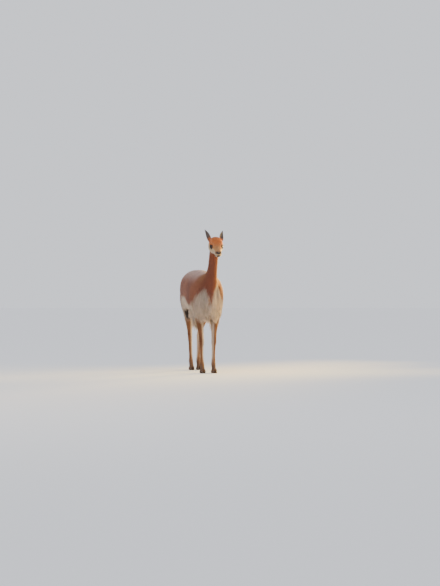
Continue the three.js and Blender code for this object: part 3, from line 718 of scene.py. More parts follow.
guide(TRUNK, 0, 72, 130, trunk_flesh)
for which, (side, rows, set_back, foot, stance) in enumerate(LEGS):
    guide(LEG, which, 20, 70, leg_flesh(side, rows, set_back))
guide(TAIL, 0, 16, 40, limb(TAIL_ROWS))
guide(HEAD, 0, 60, 70, face_skin, HEAD_FRAME)
for which, (side, aim, faces) in enumerate(EARS):
    guide(EAR, which, 24, 40, ear_leaf, ear_frame(side, aim, faces))
guides = np.vstack(guides)
tree = kdtree.KDTree(len(guides))
for at, row in enumerate(guides):
    tree.insert(row[:3], at)
tree.balance()

co = numbers(skin.data, ("vertices", "co"), 3)
normal = numbers(skin.data, ("vertices", "normal"), 3)
nearest = guides[[tree.find(point)[1] for point in co]]
part, which, t, a, ahead = nearest[:, 3], nearest[:, 4], nearest[:, 5], nearest[:, 6], nearest[:, 7:10]
rise = np.sin(a)
x, y, z = co.T
away_side = np.sign(x)
on = {kind: part == kind for kind in (TRUNK, LEG, TAIL, HEAD, EAR)}
in_head = turned_by(HEAD_FRAME.inverted(), co)
forward, up = -in_head[:, 1], in_head[:, 2]
eye_gap = np.min([np.linalg.norm(in_head - eye_centre(side), axis=1) for side in (1, -1)], 0)
hind = on[LEG] & (which >= 2)
lid_share = 0 * x
for side in (1, -1):
    along, high, look = eye_axes(side)
    off_eye = in_head - eye_centre(side)
    near = almond(off_eye @ along * 0.86, off_eye @ high)
    in_front = (off_eye @ look > 0) & (np.linalg.norm(off_eye, axis=1) < 0.026)
    lid_share = np.maximum(lid_share, fading(near, 1.20, 1.65) * in_front)


def layered(base, *layers):
    """Values laid one over another, each by its share at every point."""
    for value, share in layers:
        base = base + (value - base) * share[:, None]
    return base


def where_on(kind, values, others):
    return np.where(on[kind][:, None], values, others)


def ripple(points, scale, seed):
    """Smooth, uneven values about nought, a few waves laid over one another."""
    waves = np.random.default_rng(seed)
    total = 0
    for _ in range(6):
        total = total + np.sin(points @ unit(waves.normal(size=3)) * 6.3 / scale + waves.uniform(0, 6.3))
    return total / 2.4


back_and_down = np.array([0.0, 0.82, -0.57])
flow = layered(
    back_and_down,
    ([0, 0.3, -0.95], fading(t, 0.02, 0.13)),
    ([0, 0.10, -1.0], smooth(t, 0.30, 0.47) * fading(rise, 0.0, 0.8)),
    (-ahead, smooth(t, 0.565, 0.64)),
)
kinds = layered(
    WOOL,
    (FLANK, smooth(-rise, 0.1, 0.6)),
    (UNDERSIDE, smooth(-rise, 0.75, 0.9)),
    (NECK, smooth(t, 0.56, 0.68)),
    (BIB, smooth(t, 0.40, 0.47) * fading(t, 0.60, 0.66) * smooth(-rise, -0.25, 0.35)),
    (ELBOW, smooth(t, 0.24, 0.40) * fading(t, 0.42, 0.46) * smooth(-rise, 0.45, 0.75)),
)
leg_flow = layered(ahead, (back_and_down * [1, 0.6, 1.4], smooth(z, 0.46, 0.66)))
leg_kinds = layered(
    SHIN,
    (HAUNCH, smooth(z, 0.36, 0.54)),
    (ELBOW, smooth(z, 0.44, 0.52) * smooth(normal[:, 1], -0.1, 0.6) * ~hind),
)
flow, kinds = where_on(LEG, leg_flow, flow), where_on(LEG, leg_kinds, kinds)
over_legs = smooth(np.abs(x), 0.034, 0.070)
fringe_end = MIDDLE_END + (np.where(on[LEG] | (t < 0.44), ELBOW_END, BIB_END) - MIDDLE_END) * over_legs
fringe_end = fringe_end + FRINGE_RAGGED * ripple(co * [1, 0.6, 0], 0.045, 12)
long_hair = kinds[:, 0] > LONG_HAIR
hangs = np.clip(z - fringe_end, SHORTEST_FRINGE, kinds[:, 0])
kinds[:, 0] = np.where(long_hair, hangs, kinds[:, 0])
face_flow = -ahead + np.array([0, 0, -0.35]) * smooth(-rise, -0.5, 0.3)[:, None]
face_kinds = layered(CROWN, (CHEEK, smooth(forward, 0.05, 0.11)), (MUZZLE, smooth(forward, 0.13, 0.21)))
face_kinds[:, 0] *= 1 - 0.55 * fading(eye_gap, 0.020, 0.034)
for part_of, way, sort in ((TAIL, ahead, BRUSH), (HEAD, face_flow, face_kinds), (EAR, ahead, LEAF)):
    flow, kinds = where_on(part_of, way, flow), where_on(part_of, sort, kinds)

edges = numbers(skin.data, ("edges", "vertices"), 2).astype(int)
degree = np.bincount(edges.ravel(), minlength=len(co))[:, None]


def evened(values, times):
    for _ in range(times):
        total = np.empty_like(values)
        for column in range(values.shape[1]):
            total[:, column] = np.bincount(edges[:, 0], values[edges[:, 1], column], len(co))
            total[:, column] += np.bincount(edges[:, 1], values[edges[:, 0], column], len(co))
        values = (values + total / degree) / 2
    return values


lie = evened(np.hstack([unit(flow), np.log(kinds)]), LIE_ROUNDS)
flow, kinds = unit(lie[:, :3]), np.exp(lie[:, 3:])


# The markings, with some painted shade, alike in the skin and in every hair that grows from it: cinnamon
# back and rust neck over a white chest, belly, throat and inner legs, frosted along the spine, brown
# fronts to the legs with a dark patch on each stifle, a tawny crown, dark ears whose hollow insides are
# darkened further as painted shade, dark nose and lips, and painted shade on the chin under the mouth.
def tint(red, green, blue):
    share = np.array([red, green, blue]) / 255
    return np.where(share > 0.04045, ((share + 0.055) / 1.055) ** 2.4, share / 12.92)


CINNAMON = tint(148, 90, 64)
DEEP_CINNAMON = tint(124, 72, 52)
FROST = tint(244, 214, 200)
RUST = tint(128, 72, 52)
NAPE = tint(156, 106, 72)
WHITE = tint(204, 182, 162)
CREAM = tint(206, 180, 142)
TAWNY = tint(208, 108, 34)
BRIDGE = tint(184, 136, 82)
LEG_BROWN = tint(124, 78, 46)
KNEE_BROWN = tint(100, 54, 26)
FOOT_BROWN = tint(110, 80, 60)
DUSK = tint(104, 76, 66)
UMBER = tint(40, 27, 20)
SLATE = tint(72, 62, 58)
EAR_LINING_AND_SHADE = tint(88, 76, 70)
NOSE = tint(46, 36, 32)
# height of the edge of the white at distances back
FLANK_EDGE = np.array([
    [-0.245, 0.79], [-0.240, 0.745], [-0.224, 0.708], [-0.202, 0.687], [-0.180, 0.668], [-0.159, 0.644],
    [-0.134, 0.620], [-0.100, 0.602], [-0.057, 0.594], [0.014, 0.615], [0.081, 0.648], [0.164, 0.664],
    [0.250, 0.666], [0.300, 0.640], [0.330, 0.570], [0.370, 0.500],
])
TONGUE_AT = 0.004
TEAR_AT = np.array([-0.004, -0.009, -0.002])
STIFLE = np.array([0.094, 0.222, 0.514])
STIFLE_REACH = np.array([0.066, 0.056, 0.068])

broken = 0.010 * ripple(co, 0.16, 3) + 0.005 * ripple(co, 0.05, 4)
edge = np.interp(y, FLANK_EDGE[:, 0], FLANK_EDGE[:, 1]) + broken
edge -= 0.135 * bump(x, TONGUE_AT, 0.034) * smooth(-y, 0.19, 0.24)
spine = rise + 0.05 * ripple(co, 0.06, 6) + 0.06 * ripple(co, 0.02, 14)
spine = smooth(spine, 0.45, 1.0) * smooth(z, 0.72, 0.88)
streaks = np.clip(0.97 + 0.20 * ripple(co * [1, 1, 0.12], 0.016, 11), 0.66, 1.2)[:, None]
on_neck, pale = smooth(t, 0.5, 0.62), fading(z - edge, -0.014, 0.018)
neck = layered(RUST, (NAPE, smooth(rise, -0.1, 0.7)), (TAWNY, smooth(z, 0.94, 1.05) * 0.1))
root = layered(CINNAMON, (DEEP_CINNAMON, 0.5 + 0.5 * ripple(co, 0.22, 5)))
tip = layered(root, (FROST, 0.05 + 0.68 * spine), (neck * 1.12, on_neck), (WHITE * streaks, pale))
root = layered(root, (FROST, 0.25 * spine), (neck, on_neck), (WHITE * 0.86 * streaks, pale))

side_of = np.where(on[LEG], np.where(which % 2 == 0, 1, -1), away_side)
inward = smooth(-normal[:, 0] * side_of, 0.05, 0.5)
outer = smooth(normal[:, 0] * away_side, -0.4, 0.4)
face_on = smooth(-normal[:, 1], -0.35, 0.35)
rearward = smooth(normal[:, 1], 0.45, 0.85)
upper = smooth(z, 0.42, 0.56)
shin = layered(
    CREAM,
    (LEG_BROWN, face_on),
    (KNEE_BROWN, bump(z, 0.28, 0.05) * face_on * ~hind * 0.9),
    (KNEE_BROWN, bump(z, 0.33, 0.025) * hind * 0.85 * outer),
    (FOOT_BROWN, fading(z, 0.04, 0.12)),
    (WHITE, inward * 0.9 * smooth(z, 0.06, 0.16)),
)
thigh = layered(
    root,
    (DUSK, smooth(y, 0.27, 0.34) * fading(z, 0.66, 0.74) * outer * 0.75),
    (WHITE * 0.68, np.maximum(inward, rearward) * (z < 0.75)),
)
leg = layered(shin, (thigh, upper))
root, tip = where_on(LEG, leg, root), where_on(LEG, layered(leg, (FROST, 0.12 * upper)), tip)
from_patch = np.linalg.norm((folded(co) - STIFLE) / STIFLE_REACH, axis=1)
stifle = fading(from_patch + 0.2 * ripple(co, 0.06, 8), 0.7, 1.1)
root, tip = layered(root, (UMBER, stifle)), layered(tip, (UMBER * 1.25, stifle))

# at the nose, height takes the place of the way round
rise = rise + ((up + 0.0085) / 0.017 - rise) * smooth(forward, 0.216, 0.230) * on[HEAD]
tear_gap = np.linalg.norm(folded(in_head) - EYE_AT - TEAR_AT, axis=1)
mask = np.minimum(eye_gap, tear_gap - 0.0015) + 0.001 * ripple(co, 0.02, 13)
off_middle = np.abs(in_head[:, 0])
# painted shade under the mouth: the chin and lower lips are darkened, and their hair tips are left
# unfrosted
chin_shade = np.hypot(off_middle / 0.0150, (up + 0.0215) / 0.0120)
chin_shade = fading(chin_shade, 0.75, 1.20) * smooth(forward, 0.200, 0.215)
wings = np.hypot((off_middle - 0.0088) / 0.0078, (up - 0.0055) / 0.0088)
between = np.hypot(off_middle / 0.006, (up - 0.004) / 0.007)
pad = fading(np.minimum(wings, between), 0.8, 1.15) * smooth(forward, 0.214, 0.222)
lips = bump(up, mouth_height(forward), 0.0022) * smooth(forward, 0.176, 0.19)
split_lip = bump(off_middle, 0, 0.0022) * smooth(forward, 0.226, 0.233)
split_lip *= smooth(up, -0.020, -0.015) * (up < 0.004)
leather = np.max([pad, lips, split_lip], 0)
face = layered(
    TAWNY,
    (BRIDGE, smooth(forward, 0.10, 0.17) * 0.8),
    (CREAM, fading(rise + 0.05 * ripple(co, 0.03, 9), -0.02, 0.42) * smooth(forward, 0.0, 0.05)),
    (WHITE, fading(rise, -0.62, -0.2)),
    (CREAM, bump(eye_gap, 0.029, 0.005) * 0.15),
    (UMBER, fading(mask, 0.0172, 0.0222) * 0.97),
    (NOSE, lid_share),
    (SLATE * 0.8, smooth(forward, 0.200, 0.222) * bump(up, 0.006, 0.011) * 0.9),
    # painted shade on the chin, under the mouth
    (UMBER * 0.6, chin_shade),
    (NOSE, leather),
)
# the hollow inside of each ear is dark, partly its own grey lining and partly painted shade in the
# hollow; its back is slate
ear = layered(
    EAR_LINING_AND_SHADE,
    (SLATE, smooth(rise, -0.05, 0.25)),
    (UMBER, np.maximum(smooth(np.abs(np.cos(a)), 0.93, 0.99) * 0.7, smooth(t, 0.88, 0.98))),
    (TAWNY * 0.8, fading(t + 0.06 * ripple(co, 0.012, 15), 0.20, 0.46) * 0.85),
)
tail = layered(CREAM, (CINNAMON, smooth(normal[:, 1], -0.2, 0.5) * fading(t, 0.7, 1.0)))
for kind, painted, over, share in (
    (HEAD, face, FROST, 0.10 * (1 - chin_shade)),
    (EAR, ear, FROST, 0.10 * (1 - chin_shade)),
    (TAIL, tail, WHITE, 0.1 + 0.5 * smooth(t, 0.5, 1.0)),
):
    root, tip = where_on(kind, painted, root), where_on(kind, layered(painted, (over, share)), tip)
colours = np.hstack([root, tip])
colours = where_on(HEAD, colours, evened(colours, COLOUR_ROUNDS))
leather_at = evened(leather[:, None], 1)[:, 0] * on[HEAD]
bare = np.clip(leather_at * 1.6 + lid_share * 2 + (z < 0.006), 0, 1)


def store(mesh, name, values):
    """Keeps a colour or a vector with every point of a mesh."""
    kind, key = ("FLOAT_COLOR", "color") if values.shape[-1] == 4 else ("FLOAT_VECTOR", "vector")
    layer = mesh.attributes.new(name, kind, "POINT")
    layer.data.foreach_set(key, values.astype(np.float32).ravel())


def attribute(wires, name, output=0):
    return wires.node("ShaderNodeAttribute", {"attribute_name": name}, output=output)


def channel(colour, which):
    return colour.node("ShaderNodeSeparateColor", {}, {"Color": colour}, which)


def stretched(at, scale):
    return at.node("ShaderNodeMapping", {}, {"Vector": at, "Scale": scale})


def shaded(colour, shade):
    """A colour made darker or lighter by one value."""
    grey = shade.node("ShaderNodeCombineColor", {}, {"Red": shade, "Green": shade, "Blue": shade})
    settings = {"data_type": "RGBA", "blend_type": "MULTIPLY"}
    return colour.node("ShaderNodeMix", settings, {0: 1.0, 6: colour, 7: grey}, 2)


def raised(height, strength, distance):
    sockets = {"Height": height, "Strength": strength, "Distance": distance}
    return height.node("ShaderNodeBump", {}, sockets)


# metres round and along the trunk, a leg, the tail, the head and an ear, for the grain of short hair
GRAIN = np.array([[0.115, 1.60], [0.021, 0.80], [0.020, 0.22], [0.050, 0.27], [0.022, 0.15]])
from_seam = np.mod(a + 1.5 * math.pi, 2 * math.pi)
reach = GRAIN[part.astype(int)]
store(skin.data, "markings_and_shade", np.column_stack([colours[:, :3], 0 * x]))
store(skin.data, "hide", np.column_stack([leather_at, bare, 0 * x, 0 * x + 1]))
store(skin.data, "grain", np.column_stack([from_seam * reach[:, 0], t * reach[:, 1], part * 5 + which]))
hide, wires, surface = material("hide", roughness=0.8, sheen_weight=0.08, sheen_roughness=0.6)
where = object_place(wires)
leathery = channel(attribute(wires, "hide"), 0)
strokes = noise(stretched(attribute(wires, "grain", 1), (1100, 150, 1)), 1.0, 3, 0.6)
shade = (0.80 + 0.4 * strokes) * (0.88 + 0.24 * noise(where, 60, 3))
pebbles = where.node("ShaderNodeTexVoronoi", {}, {"Vector": where, "Scale": 1500})
relief = (1 - leathery) * strokes + leathery * pebbles * 0.3
feed(
    wires, surface, base_color=shaded(attribute(wires, "markings_and_shade"), shade),
    roughness=0.82 - 0.30 * leathery, normal=raised(relief, 0.55, 0.0012),
)
skin.data.materials.clear()
skin.data.materials.append(hide)
for polygon in skin.data.polygons:
    polygon.material_index = 0

# Eyes: large, dark and wet, with a level oblong pupil in a dark brown ring, set so deep that the lids
# hold them all round. The rims of the lids are bare, dark and moist, with lashes along the upper one.
PUPIL = np.array([0.0062, 0.0036])
IRIS_RADIUS = 0.0112
IRIS_DARK, IRIS_PALE = (0.010, 0.005, 0.003, 1), (0.036, 0.016, 0.008, 1)
PUPIL_COLOUR, RIM_COLOUR = (0.004, 0.004, 0.005, 1), (0.012, 0.009, 0.008, 1)
EYE_GAP = 0.0003


def eased(value, low, high):
    """From nought to one, gently, between two values."""
    sockets = {"Value": value, "From Min": low, "From Max": high}
    return value.node("ShaderNodeMapRange", {"interpolation_type": "SMOOTHSTEP"}, sockets)


for side, node in ((1, "eye_left"), (-1, "eye_right")):
    bm = bmesh.new()
    bmesh.ops.create_uvsphere(bm, u_segments=64, v_segments=40, radius=EYE_RADIUS - EYE_GAP)
    turned = Matrix(np.column_stack(eye_axes(side)).tolist()).to_4x4()
    placed = HEAD_FRAME @ Matrix.Translation(eye_centre(side)) @ turned
    ball = np.array([v.co for v in bm.verts])
    bmesh.ops.transform(bm, matrix=placed, verts=bm.verts)
    eye = piece_of("eyeball_" + node.split("_")[1], bm)
    seen = ball[:, 2] > 0
    in_pupil = np.where(seen, np.linalg.norm(ball[:, :2] / PUPIL, axis=1) / 4, 1)
    in_iris = np.where(seen, np.linalg.norm(ball[:, :2], axis=1) / IRIS_RADIUS / 2, 1)
    store(eye.data, "ring", np.column_stack([in_pupil, in_iris, ball[:, 2], 0 * in_iris + 1]))
    wet, wires, surface = material("eye_glass", roughness=0.10, ior=1.30, specular_ior_level=0.4)
    rings = attribute(wires, "ring")
    brown = noise(object_place(wires), 700, 4).blend(IRIS_DARK, IRIS_PALE)
    opened = eased(channel(rings, 0), 0.22, 0.28).blend(PUPIL_COLOUR, brown)
    rimmed = eased(channel(rings, 1), 0.42, 0.52).blend(opened, RIM_COLOUR)
    feed(wires, surface, base_color=rimmed)
    eye.data.materials.append(wet)
    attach(eye, "root")
    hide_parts(node)

LID_RIM = 0.0012
LID_OFF = 0.0013
SECTION = 0.3
rim_skin, wires, surface = material("lid_rim", roughness=0.42, specular_ior_level=0.4)
grained = noise(object_place(wires), 900, 4)
dark = grained.blend((0.012, 0.008, 0.006, 1), (0.035, 0.022, 0.016, 1))
feed(wires, surface, base_color=dark, normal=raised(grained, 0.3, 0.0003))


def lid_edge(theta, off=0.0):
    """A point on the edge of the almond opening, in the eye's own axes."""
    u = LID_HALF_LENGTH * np.cos(theta)
    v = LID_HALF_HEIGHT * np.sin(theta) * np.abs(np.sin(theta))
    radius = EYE_RADIUS + off
    return np.column_stack([u, v, np.sqrt(radius ** 2 - u ** 2 - v ** 2)])


def from_eye(side, points):
    """Points in an eye's own axes, carried to their place in the whole."""
    return turned_by(HEAD_FRAME, points @ np.array(eye_axes(side)) + eye_centre(side))


def off_ring(at):
    return abs(math.hypot(math.hypot(at.x, at.y) - 1, at.z) - SECTION)


bm = bmesh.new()
for side in (1, -1):
    upright = Matrix.Translation((1, 0, 0)) @ Matrix.Rotation(math.pi / 2, 4, "X")
    ring = bmesh.ops.create_circle(bm, segments=10, radius=SECTION, matrix=upright)["verts"]
    swept = ring + list({edge for vert in ring for edge in vert.link_edges})
    turn = {"cent": (0, 0, 0), "axis": (0, 0, 1), "angle": 2 * math.pi}
    bmesh.ops.spin(bm, geom=swept, steps=72, use_merge=True, **turn)
    fresh = [vert for vert in bm.verts if off_ring(vert.co) < 0.02]
    torus = np.array([vert.co for vert in fresh])
    theta = np.arctan2(torus[:, 1], torus[:, 0])
    section = np.arctan2(torus[:, 2], np.hypot(torus[:, 0], torus[:, 1]) - 1)[:, None]
    on_edge = lid_edge(theta, LID_OFF)
    outward = unit(on_edge)
    step = unit(lid_edge(theta + 0.02) - lid_edge(theta - 0.02))
    apart = np.cross(step, outward)
    put = on_edge + LID_RIM * (apart * np.cos(section) + outward * 0.8 * np.sin(section))
    for vert, place in zip(fresh, from_eye(side, put)):
        vert.co = place
rims = piece_of("lid_rims", bm)
rims.data.materials.append(rim_skin)
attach(rims, "root")

# Nails: one to each toe, narrow and pointed, arched over the top and shallower below, of dark horn that
# grows in long streaks.
NAIL_ROWS = MM * np.array([
    [17, 14.5, 5.4, 5.4],
    [25, 15, 5.5, 5.6],
    [32, 13.2, 5.0, 5.0],
    [38, 10, 3.9, 3.9],
    [42.5, 7, 2.6, 2.6],
    [45.4, 4.8, 1.2, 1.3],
])
NAIL_DEPTH_BELOW = 0.75
bm = bmesh.new()
for side, rows, set_back, foot, stance in LEGS:
    for way in (-1, 1):
        middle = side * stance + way * (TOE_SPREAD + MM)
        stations = np.column_stack([
            0 * NAIL_ROWS[:, 0] + middle, foot - NAIL_ROWS[:, 0], NAIL_ROWS[:, 1:],
            NAIL_ROWS[:, 3] * NAIL_DEPTH_BELOW,
        ])
        verts = loft(bm, 20, 26, limb(stations, 0.0, 2.2), 0.0004)
        bmesh.ops.translate(bm, verts=verts, vec=SHIFT)
nails = piece_of("nails", bm)
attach(nails, "root")
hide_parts(*[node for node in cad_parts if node.startswith("nail")])
horn, wires, surface = material("horn", roughness=0.42)
where = object_place(wires)
streak = noise(stretched(where, (9, 1.2, 5)), 130, 4)
shown = streak.blend((0.016, 0.012, 0.010, 1), (0.085, 0.066, 0.052, 1))
dull = 0.34 + 0.24 * noise(where, 260, 2)
feed(wires, surface, base_color=shown, roughness=dull, normal=raised(streak, 0.4, 0.0004))
nails.data.materials.append(horn)

# The coat, which is made of thousands of fine tapered tufts. Each is rooted in the skin, lies along it
# at its own height and is drawn to its neighbours where the real hair gathers into locks. First comes
# the wool of the back and flanks: dense, soft and crimped, in close locks that overlap like thatch.
SUNK = 0.0015
STRAY_SHARE = 0.05
FLOOR_GAP = 0.0003
ROOF = 0.55  # height of a tuft's section over its half width
LEAN = 0.45  # how much the section of a flat hair turns its light
PATCH = 0.003
MARGIN = 0.01
# what the skin says at each point, by column
OUT, WAY, LONG, PROUD, HALF_WIDTH = slice(0, 3), slice(3, 6), 6, 7, 8
ROOT_TINT, TIP_TINT, SPOT = slice(10, 13), slice(13, 16), slice(16, 18)
# column and row of a part's first strip of the unwrapping, its length and the step to the next
STRIPS = {
    LEG: (0.0, 0.5, 0.22, 0.25), TAIL: (0.0, 0.75, 0.22, 0), HEAD: (0.25, 0.75, 0.46, 0),
    EAR: (0.75, 0.75, 0.11, 0.125),
}

skin.data.calc_loop_triangles()
triangles = numbers(skin.data, ("loop_triangles", "vertices"), 3).astype(int)
areas = numbers(skin.data, ("loop_triangles", "area"), 1)[:, 0]
bpy.context.view_layer.update()
covering = BVHTree.FromObject(skin, bpy.context.evaluated_depsgraph_get())
round_share = a / (2 * math.pi) + 0.5
unwrapped = np.column_stack([MARGIN + 0.97 * t, MARGIN + 0.47 * round_share])
for kind, (column, row, long, step) in STRIPS.items():
    strip = [column + MARGIN + long * t + step * which, row + MARGIN + 0.22 * round_share]
    unwrapped = where_on(kind, np.column_stack(strip), unwrapped)
fields = np.hstack([normal, flow, kinds, colours, unwrapped])


def on_skin(points):
    found = [covering.find_nearest(point)[:2] for point in points]
    return np.array([f[0] for f in found]), np.array([f[1] for f in found])


def rooted(mask, dice):
    """Even but irregular places on part of the skin, with all that the skin says there."""
    chance = areas * (kinds[:, 3] * (1 - bare) * mask)[triangles].mean(1)
    total = chance.sum()
    count = int(total)
    picks = np.searchsorted(np.cumsum(chance), (np.arange(count) + dice.random(count)) * total / count)
    picks = triangles[np.minimum(picks, len(triangles) - 1)]
    shares = dice.random((count, 2))
    shares = np.where(shares.sum(1, keepdims=True) > 1, 1 - shares, shares)
    shares = np.column_stack([1 - shares.sum(1), shares])[:, :, None]
    one = picks[np.arange(count), shares[:, :, 0].argmax(1)]
    told = (fields[picks] * shares).sum(1)
    told[:, SPOT] = fields[one, SPOT]
    return (co[picks] * shares).sum(1), told


def combed(roots, told, steps, dice, hang, wave, clump):
    """The paths of the tufts, from below the skin to their tips."""
    count = len(roots)
    out, way, length, proud = unit(told[:, OUT]), unit(told[:, WAY]), told[:, LONG], told[:, PROUD]
    length = length * dice.uniform(0.72, 1.2, count)
    proud = proud * dice.uniform(0.5, 1.2, count) * np.where(dice.random(count) < STRAY_SHARE, 1.5, 1)
    sideways = unit(np.cross(out, way))
    way = unit(way + sideways * dice.normal(0, 0.14, count)[:, None])
    phase = dice.uniform(0, 6.3, count)
    here, path, outs = roots, [roots - out * SUNK], [out]
    for step in range(1, steps + 1):
        s = step / steps
        flat = unit(way - out * ((way * out).sum(1) * (1 - hang))[:, None])
        here = here + flat * (length / steps)[:, None]
        near, facing = on_skin(here)
        height = ((here - near) * facing).sum(1)
        least = proud * (1 - (1 - s) ** 1.8)
        free = hang * smooth(height - least, 0.0, 0.012)[:, None]
        height = least + np.maximum(height - least, 0) * hang
        here = near + facing * height[:, None]
        out = unit(facing + (out - facing) * free)
        swing = wave * length * s * np.sin(phase + 5.0 * s)
        path.append(here + sideways * swing[:, None])
        outs.append(out)
    path, outs = np.stack(path, 1), np.stack(outs, 1)
    if clump:
        strength, many = clump
        chiefs = dice.choice(count, max(count // many, 1), replace=False)
        nearby = kdtree.KDTree(len(chiefs))
        for at, chief in enumerate(chiefs):
            nearby.insert(roots[chief], at)
        nearby.balance()
        chief = chiefs[[nearby.find(root)[1] for root in roots]]
        pull = strength * (np.arange(steps + 1) / steps)[None, :, None] ** 1.3
        path = path + (path[chief] - path) * pull * dice.uniform(0.6, 1.1, (count, 1, 1))
    return path, outs


def tufted(name, path, outs, told, dice, flat=True):
    """One mesh of three-sided tapered tufts; those of flat hair are lit like the skin under them."""
    count, steps = len(path), path.shape[1] - 1
    s = np.arange(steps) / steps
    ahead = unit(np.gradient(path, axis=1))[:, :-1]
    base = outs[:, :-1]
    up = unit(base - ahead * (base * ahead).sum(2, keepdims=True))
    side = np.cross(ahead, up)
    wide = told[:, HALF_WIDTH, None] * (0.75 + 0.6 * s) * (1 - s ** 2.2)
    wide = (wide * dice.uniform(0.75, 1.25, (count, 1)))[:, :, None]
    spine = path[:, :-1]
    ring = [spine + side * wide, spine - side * wide, spine + up * wide * ROOF]
    verts = np.concatenate([np.stack(ring, 2).reshape(count, -1, 3), path[:, -1:]], 1)
    verts[:, :, 2] = np.maximum(verts[:, :, 2], FLOOR_GAP)
    around = [[3 * j + k, 3 * j + (k + 1) % 3, 3 * j + 3 + (k + 1) % 3, 3 * j + 3 + k]
              for j in range(steps - 1) for k in range(3)]
    faces = [[q[0], q[1], q[2]] for q in around] + [[q[0], q[2], q[3]] for q in around]
    end = 3 * (steps - 1)
    faces += [[end + k, end + (k + 1) % 3, end + 3] for k in range(3)] + [[2, 1, 0]]
    each = 3 * steps + 1
    faces = (np.array(faces)[None] + each * np.arange(count)[:, None, None]).reshape(-1)
    mesh = bpy.data.meshes.new(name)
    mesh.vertices.add(count * each)
    mesh.vertices.foreach_set("co", verts.ravel())
    mesh.loops.add(len(faces))
    mesh.loops.foreach_set("vertex_index", faces)
    mesh.polygons.add(len(faces) // 3)
    mesh.polygons.foreach_set("loop_start", np.arange(0, len(faces), 3))
    mesh.update(calc_edges=True)
    mesh.polygons.foreach_set("use_smooth", np.ones(len(faces) // 3, bool))
    along = np.append(np.repeat(s, 3), 1.0)
    across = np.append(np.tile([1.0, -1.0, 0.0], steps), 0.0)
    tone = 1 + dice.normal(0, 0.10, (count, 1, 1)) + dice.normal(0, 0.025, (count, 1, 3))
    low, high = told[:, None, ROOT_TINT], told[:, None, TIP_TINT]
    shade = np.clip((low + (high - low) * along[None, :, None] ** 1.5) * tone, 0, 1)
    how_far = np.broadcast_to(along[None, :, None], (count, each, 1))
    store(mesh, "markings_and_shade", np.concatenate([shade, how_far], 2).reshape(-1, 4))
    own_place = (across[None] + dice.uniform(0, 90, (count, 1))).ravel()
    own_number = np.repeat(dice.random(count), each)
    store(mesh, "strand", np.column_stack([own_place, np.tile(along, count), own_number]))
    spot = told[:, None, SPOT] + PATCH * np.stack([across / 2, along - 0.5], 1)[None]
    baked = mesh.uv_layers.new(name="OFBake")
    baked.data.foreach_set("uv", spot.reshape(-1, 2)[faces].astype(np.float32).ravel())
    mesh.materials.append(hair)
    if flat:
        lean = np.stack([base + side * LEAN, base - side * LEAN, base + up * LEAN], 2)
        lean = np.concatenate([lean.reshape(count, -1, 3), outs[:, -1:] + ahead[:, -1:] * 0.3], 1)
        mesh.normals_split_custom_set_from_vertices(unit(lean).reshape(-1, 3))
    made = bpy.data.objects.new(name, mesh)
    bpy.context.collection.objects.link(made)
    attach(made, "root")


def coat_piece(name, mask, steps, seed, hang=0.0, wave=0.05, clump=None):
    """The hair of one part of the body, which hangs freely, waves and clumps by so much."""
    dice = np.random.default_rng(seed)
    roots, told = rooted(mask, dice)
    path, outs = combed(roots, told, steps, dice, hang, wave, clump)
    tufted(name, path, outs, told, dice, not hang)


hair, wires, surface = material("hair", roughness=0.75, specular_ior_level=0.3, sheen_weight=0.10,
                                sheen_roughness=0.5)
along = attribute(wires, "markings_and_shade", 3)
single = noise(stretched(attribute(wires, "strand", 1), (3.2, 0.9, 7.0)), 1.0, 2)
# painted shade: each tuft darker towards its root, deep in the coat, times a lighter or darker streak
# along its own strand
shade = (0.74 + 0.30 * along) * (0.80 + 0.40 * single)
feed(
    wires, surface, base_color=shaded(attribute(wires, "markings_and_shade"), shade),
    normal=raised(single, 0.35, 0.0006),
)

MIDDLE_HALF_WIDTH = 0.05
NECK_START = 0.60
LEG_SPLIT = 0.44
fleece = on[TRUNK] & (t < NECK_START) & ~long_hair
left_of_middle, right_of_middle = x > MIDDLE_HALF_WIDTH, x < -MIDDLE_HALF_WIDTH
middle = np.abs(x) <= MIDDLE_HALF_WIDTH
coat_piece("wool_left", fleece & left_of_middle, 3, 11, clump=(0.3, 12))
coat_piece("wool_middle", fleece & middle, 3, 12, clump=(0.3, 12))
coat_piece("wool_right", fleece & right_of_middle, 3, 13, clump=(0.3, 12))

# The bib of long, straight white hair that hangs from the base of the neck and the breast, and runs
# back as a fringe behind the elbows, gathered into pointed streaks.
hanging = (on[TRUNK] | on[LEG]) & long_hair
coat_piece("bib_left", hanging & (x > 0), 5, 21, hang=1.0, wave=0.02, clump=(0.62, 26))
coat_piece("bib_right", hanging & (x <= 0), 5, 22, hang=1.0, wave=0.02, clump=(0.62, 26))

# The neck and poll, in short, plushy hair, close and a little raised, so that the slim shape of the neck
# still shows through it.
poll_and_neck = on[TRUNK] & (t >= NECK_START) & ~long_hair
coat_piece("neck_coat", poll_and_neck, 2, 31, wave=0.08, clump=(0.25, 9))

# Haunches and upper arms, in the same wool as the flank, and below them the short, coarse hair of the
# legs, which lies flat along the bone.
short_haired = on[LEG] & ~long_hair
coat_piece("haunch_coat", short_haired & (z > LEG_SPLIT), 3, 41, clump=(0.3, 12))
coat_piece("leg_coat", short_haired & (z <= LEG_SPLIT), 2, 42)

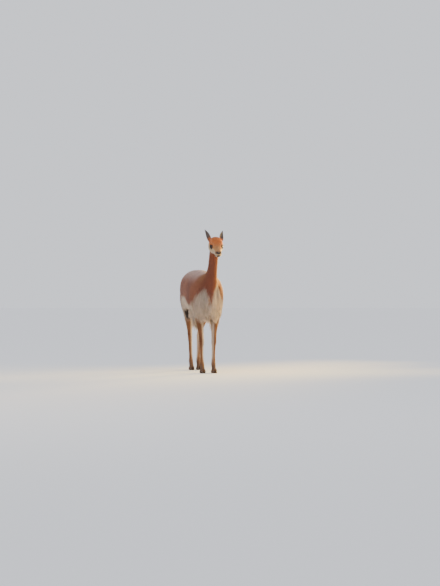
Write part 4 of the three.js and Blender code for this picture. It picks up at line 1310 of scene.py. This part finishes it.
# The tail: long, loose wool on a short bone, which hangs past its end and gathers into the locks of a
# soft brush.
coat_piece("tail_coat", on[TAIL], 5, 51, hang=0.8, clump=(0.5, 12))

# The face, in the shortest hair of all, sleek along the muzzle and longer on the crown and cheeks, and
# the ears, in close hair that runs to their tips.
coat_piece("face_coat_left", on[HEAD] & (in_head[:, 0] > 0), 2, 61, wave=0.06)
coat_piece("face_coat_right", on[HEAD] & (in_head[:, 0] <= 0), 2, 63, wave=0.06)
coat_piece("ear_coat", on[EAR], 2, 62, wave=0.06)

# Lashes: a stiff dark fringe along the edge of each upper lid, longest in the middle, that sweeps out,
# forward and down over the eye.
LASHES = 70
LASH_LENGTH = 0.0105
LASH_HALF_WIDTH = 0.00026
LASH_DROOP = np.array([0, -0.34, 0])
dice = np.random.default_rng(71)
paths, facings = [], []
for side in (1, -1):
    theta = dice.uniform(math.radians(24), math.radians(158), LASHES)
    start = lid_edge(theta, 0.0020)
    sweep = np.column_stack([0.25 * np.cos(theta), 0.15 + 0 * theta, 0.5 + 0 * theta])
    sweep = unit(unit(start) + sweep)
    sweep = unit(sweep + dice.normal(0, 0.06, sweep.shape))
    long = LASH_LENGTH * np.sin(theta)[:, None] * dice.uniform(0.8, 1.1, (LASHES, 1))
    curve = [start + sweep * long * s + LASH_DROOP * long * s * s for s in (-0.12, 0.33, 0.67, 1)]
    paths.append(np.stack([from_eye(side, c) for c in curve], 1))
    upward = turned_by(HEAD_FRAME, np.tile(eye_axes(side)[1], (LASHES, 1)), False)
    facings.append(np.repeat(upward[:, None], 4, 1))
paths, facings = np.concatenate(paths), np.concatenate(facings)
told = np.zeros((len(paths), fields.shape[1]))
told[:, HALF_WIDTH] = LASH_HALF_WIDTH
told[:, ROOT_TINT] = told[:, TIP_TINT] = NOSE * 0.5
told[:, SPOT] = unwrapped[[int(np.argmin(((co - path[0]) ** 2).sum(1))) for path in paths]]
tufted("lashes", paths, facings, told, dice, False)

size = {"cad": cad_box, "visual": [list(corner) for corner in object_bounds()]}
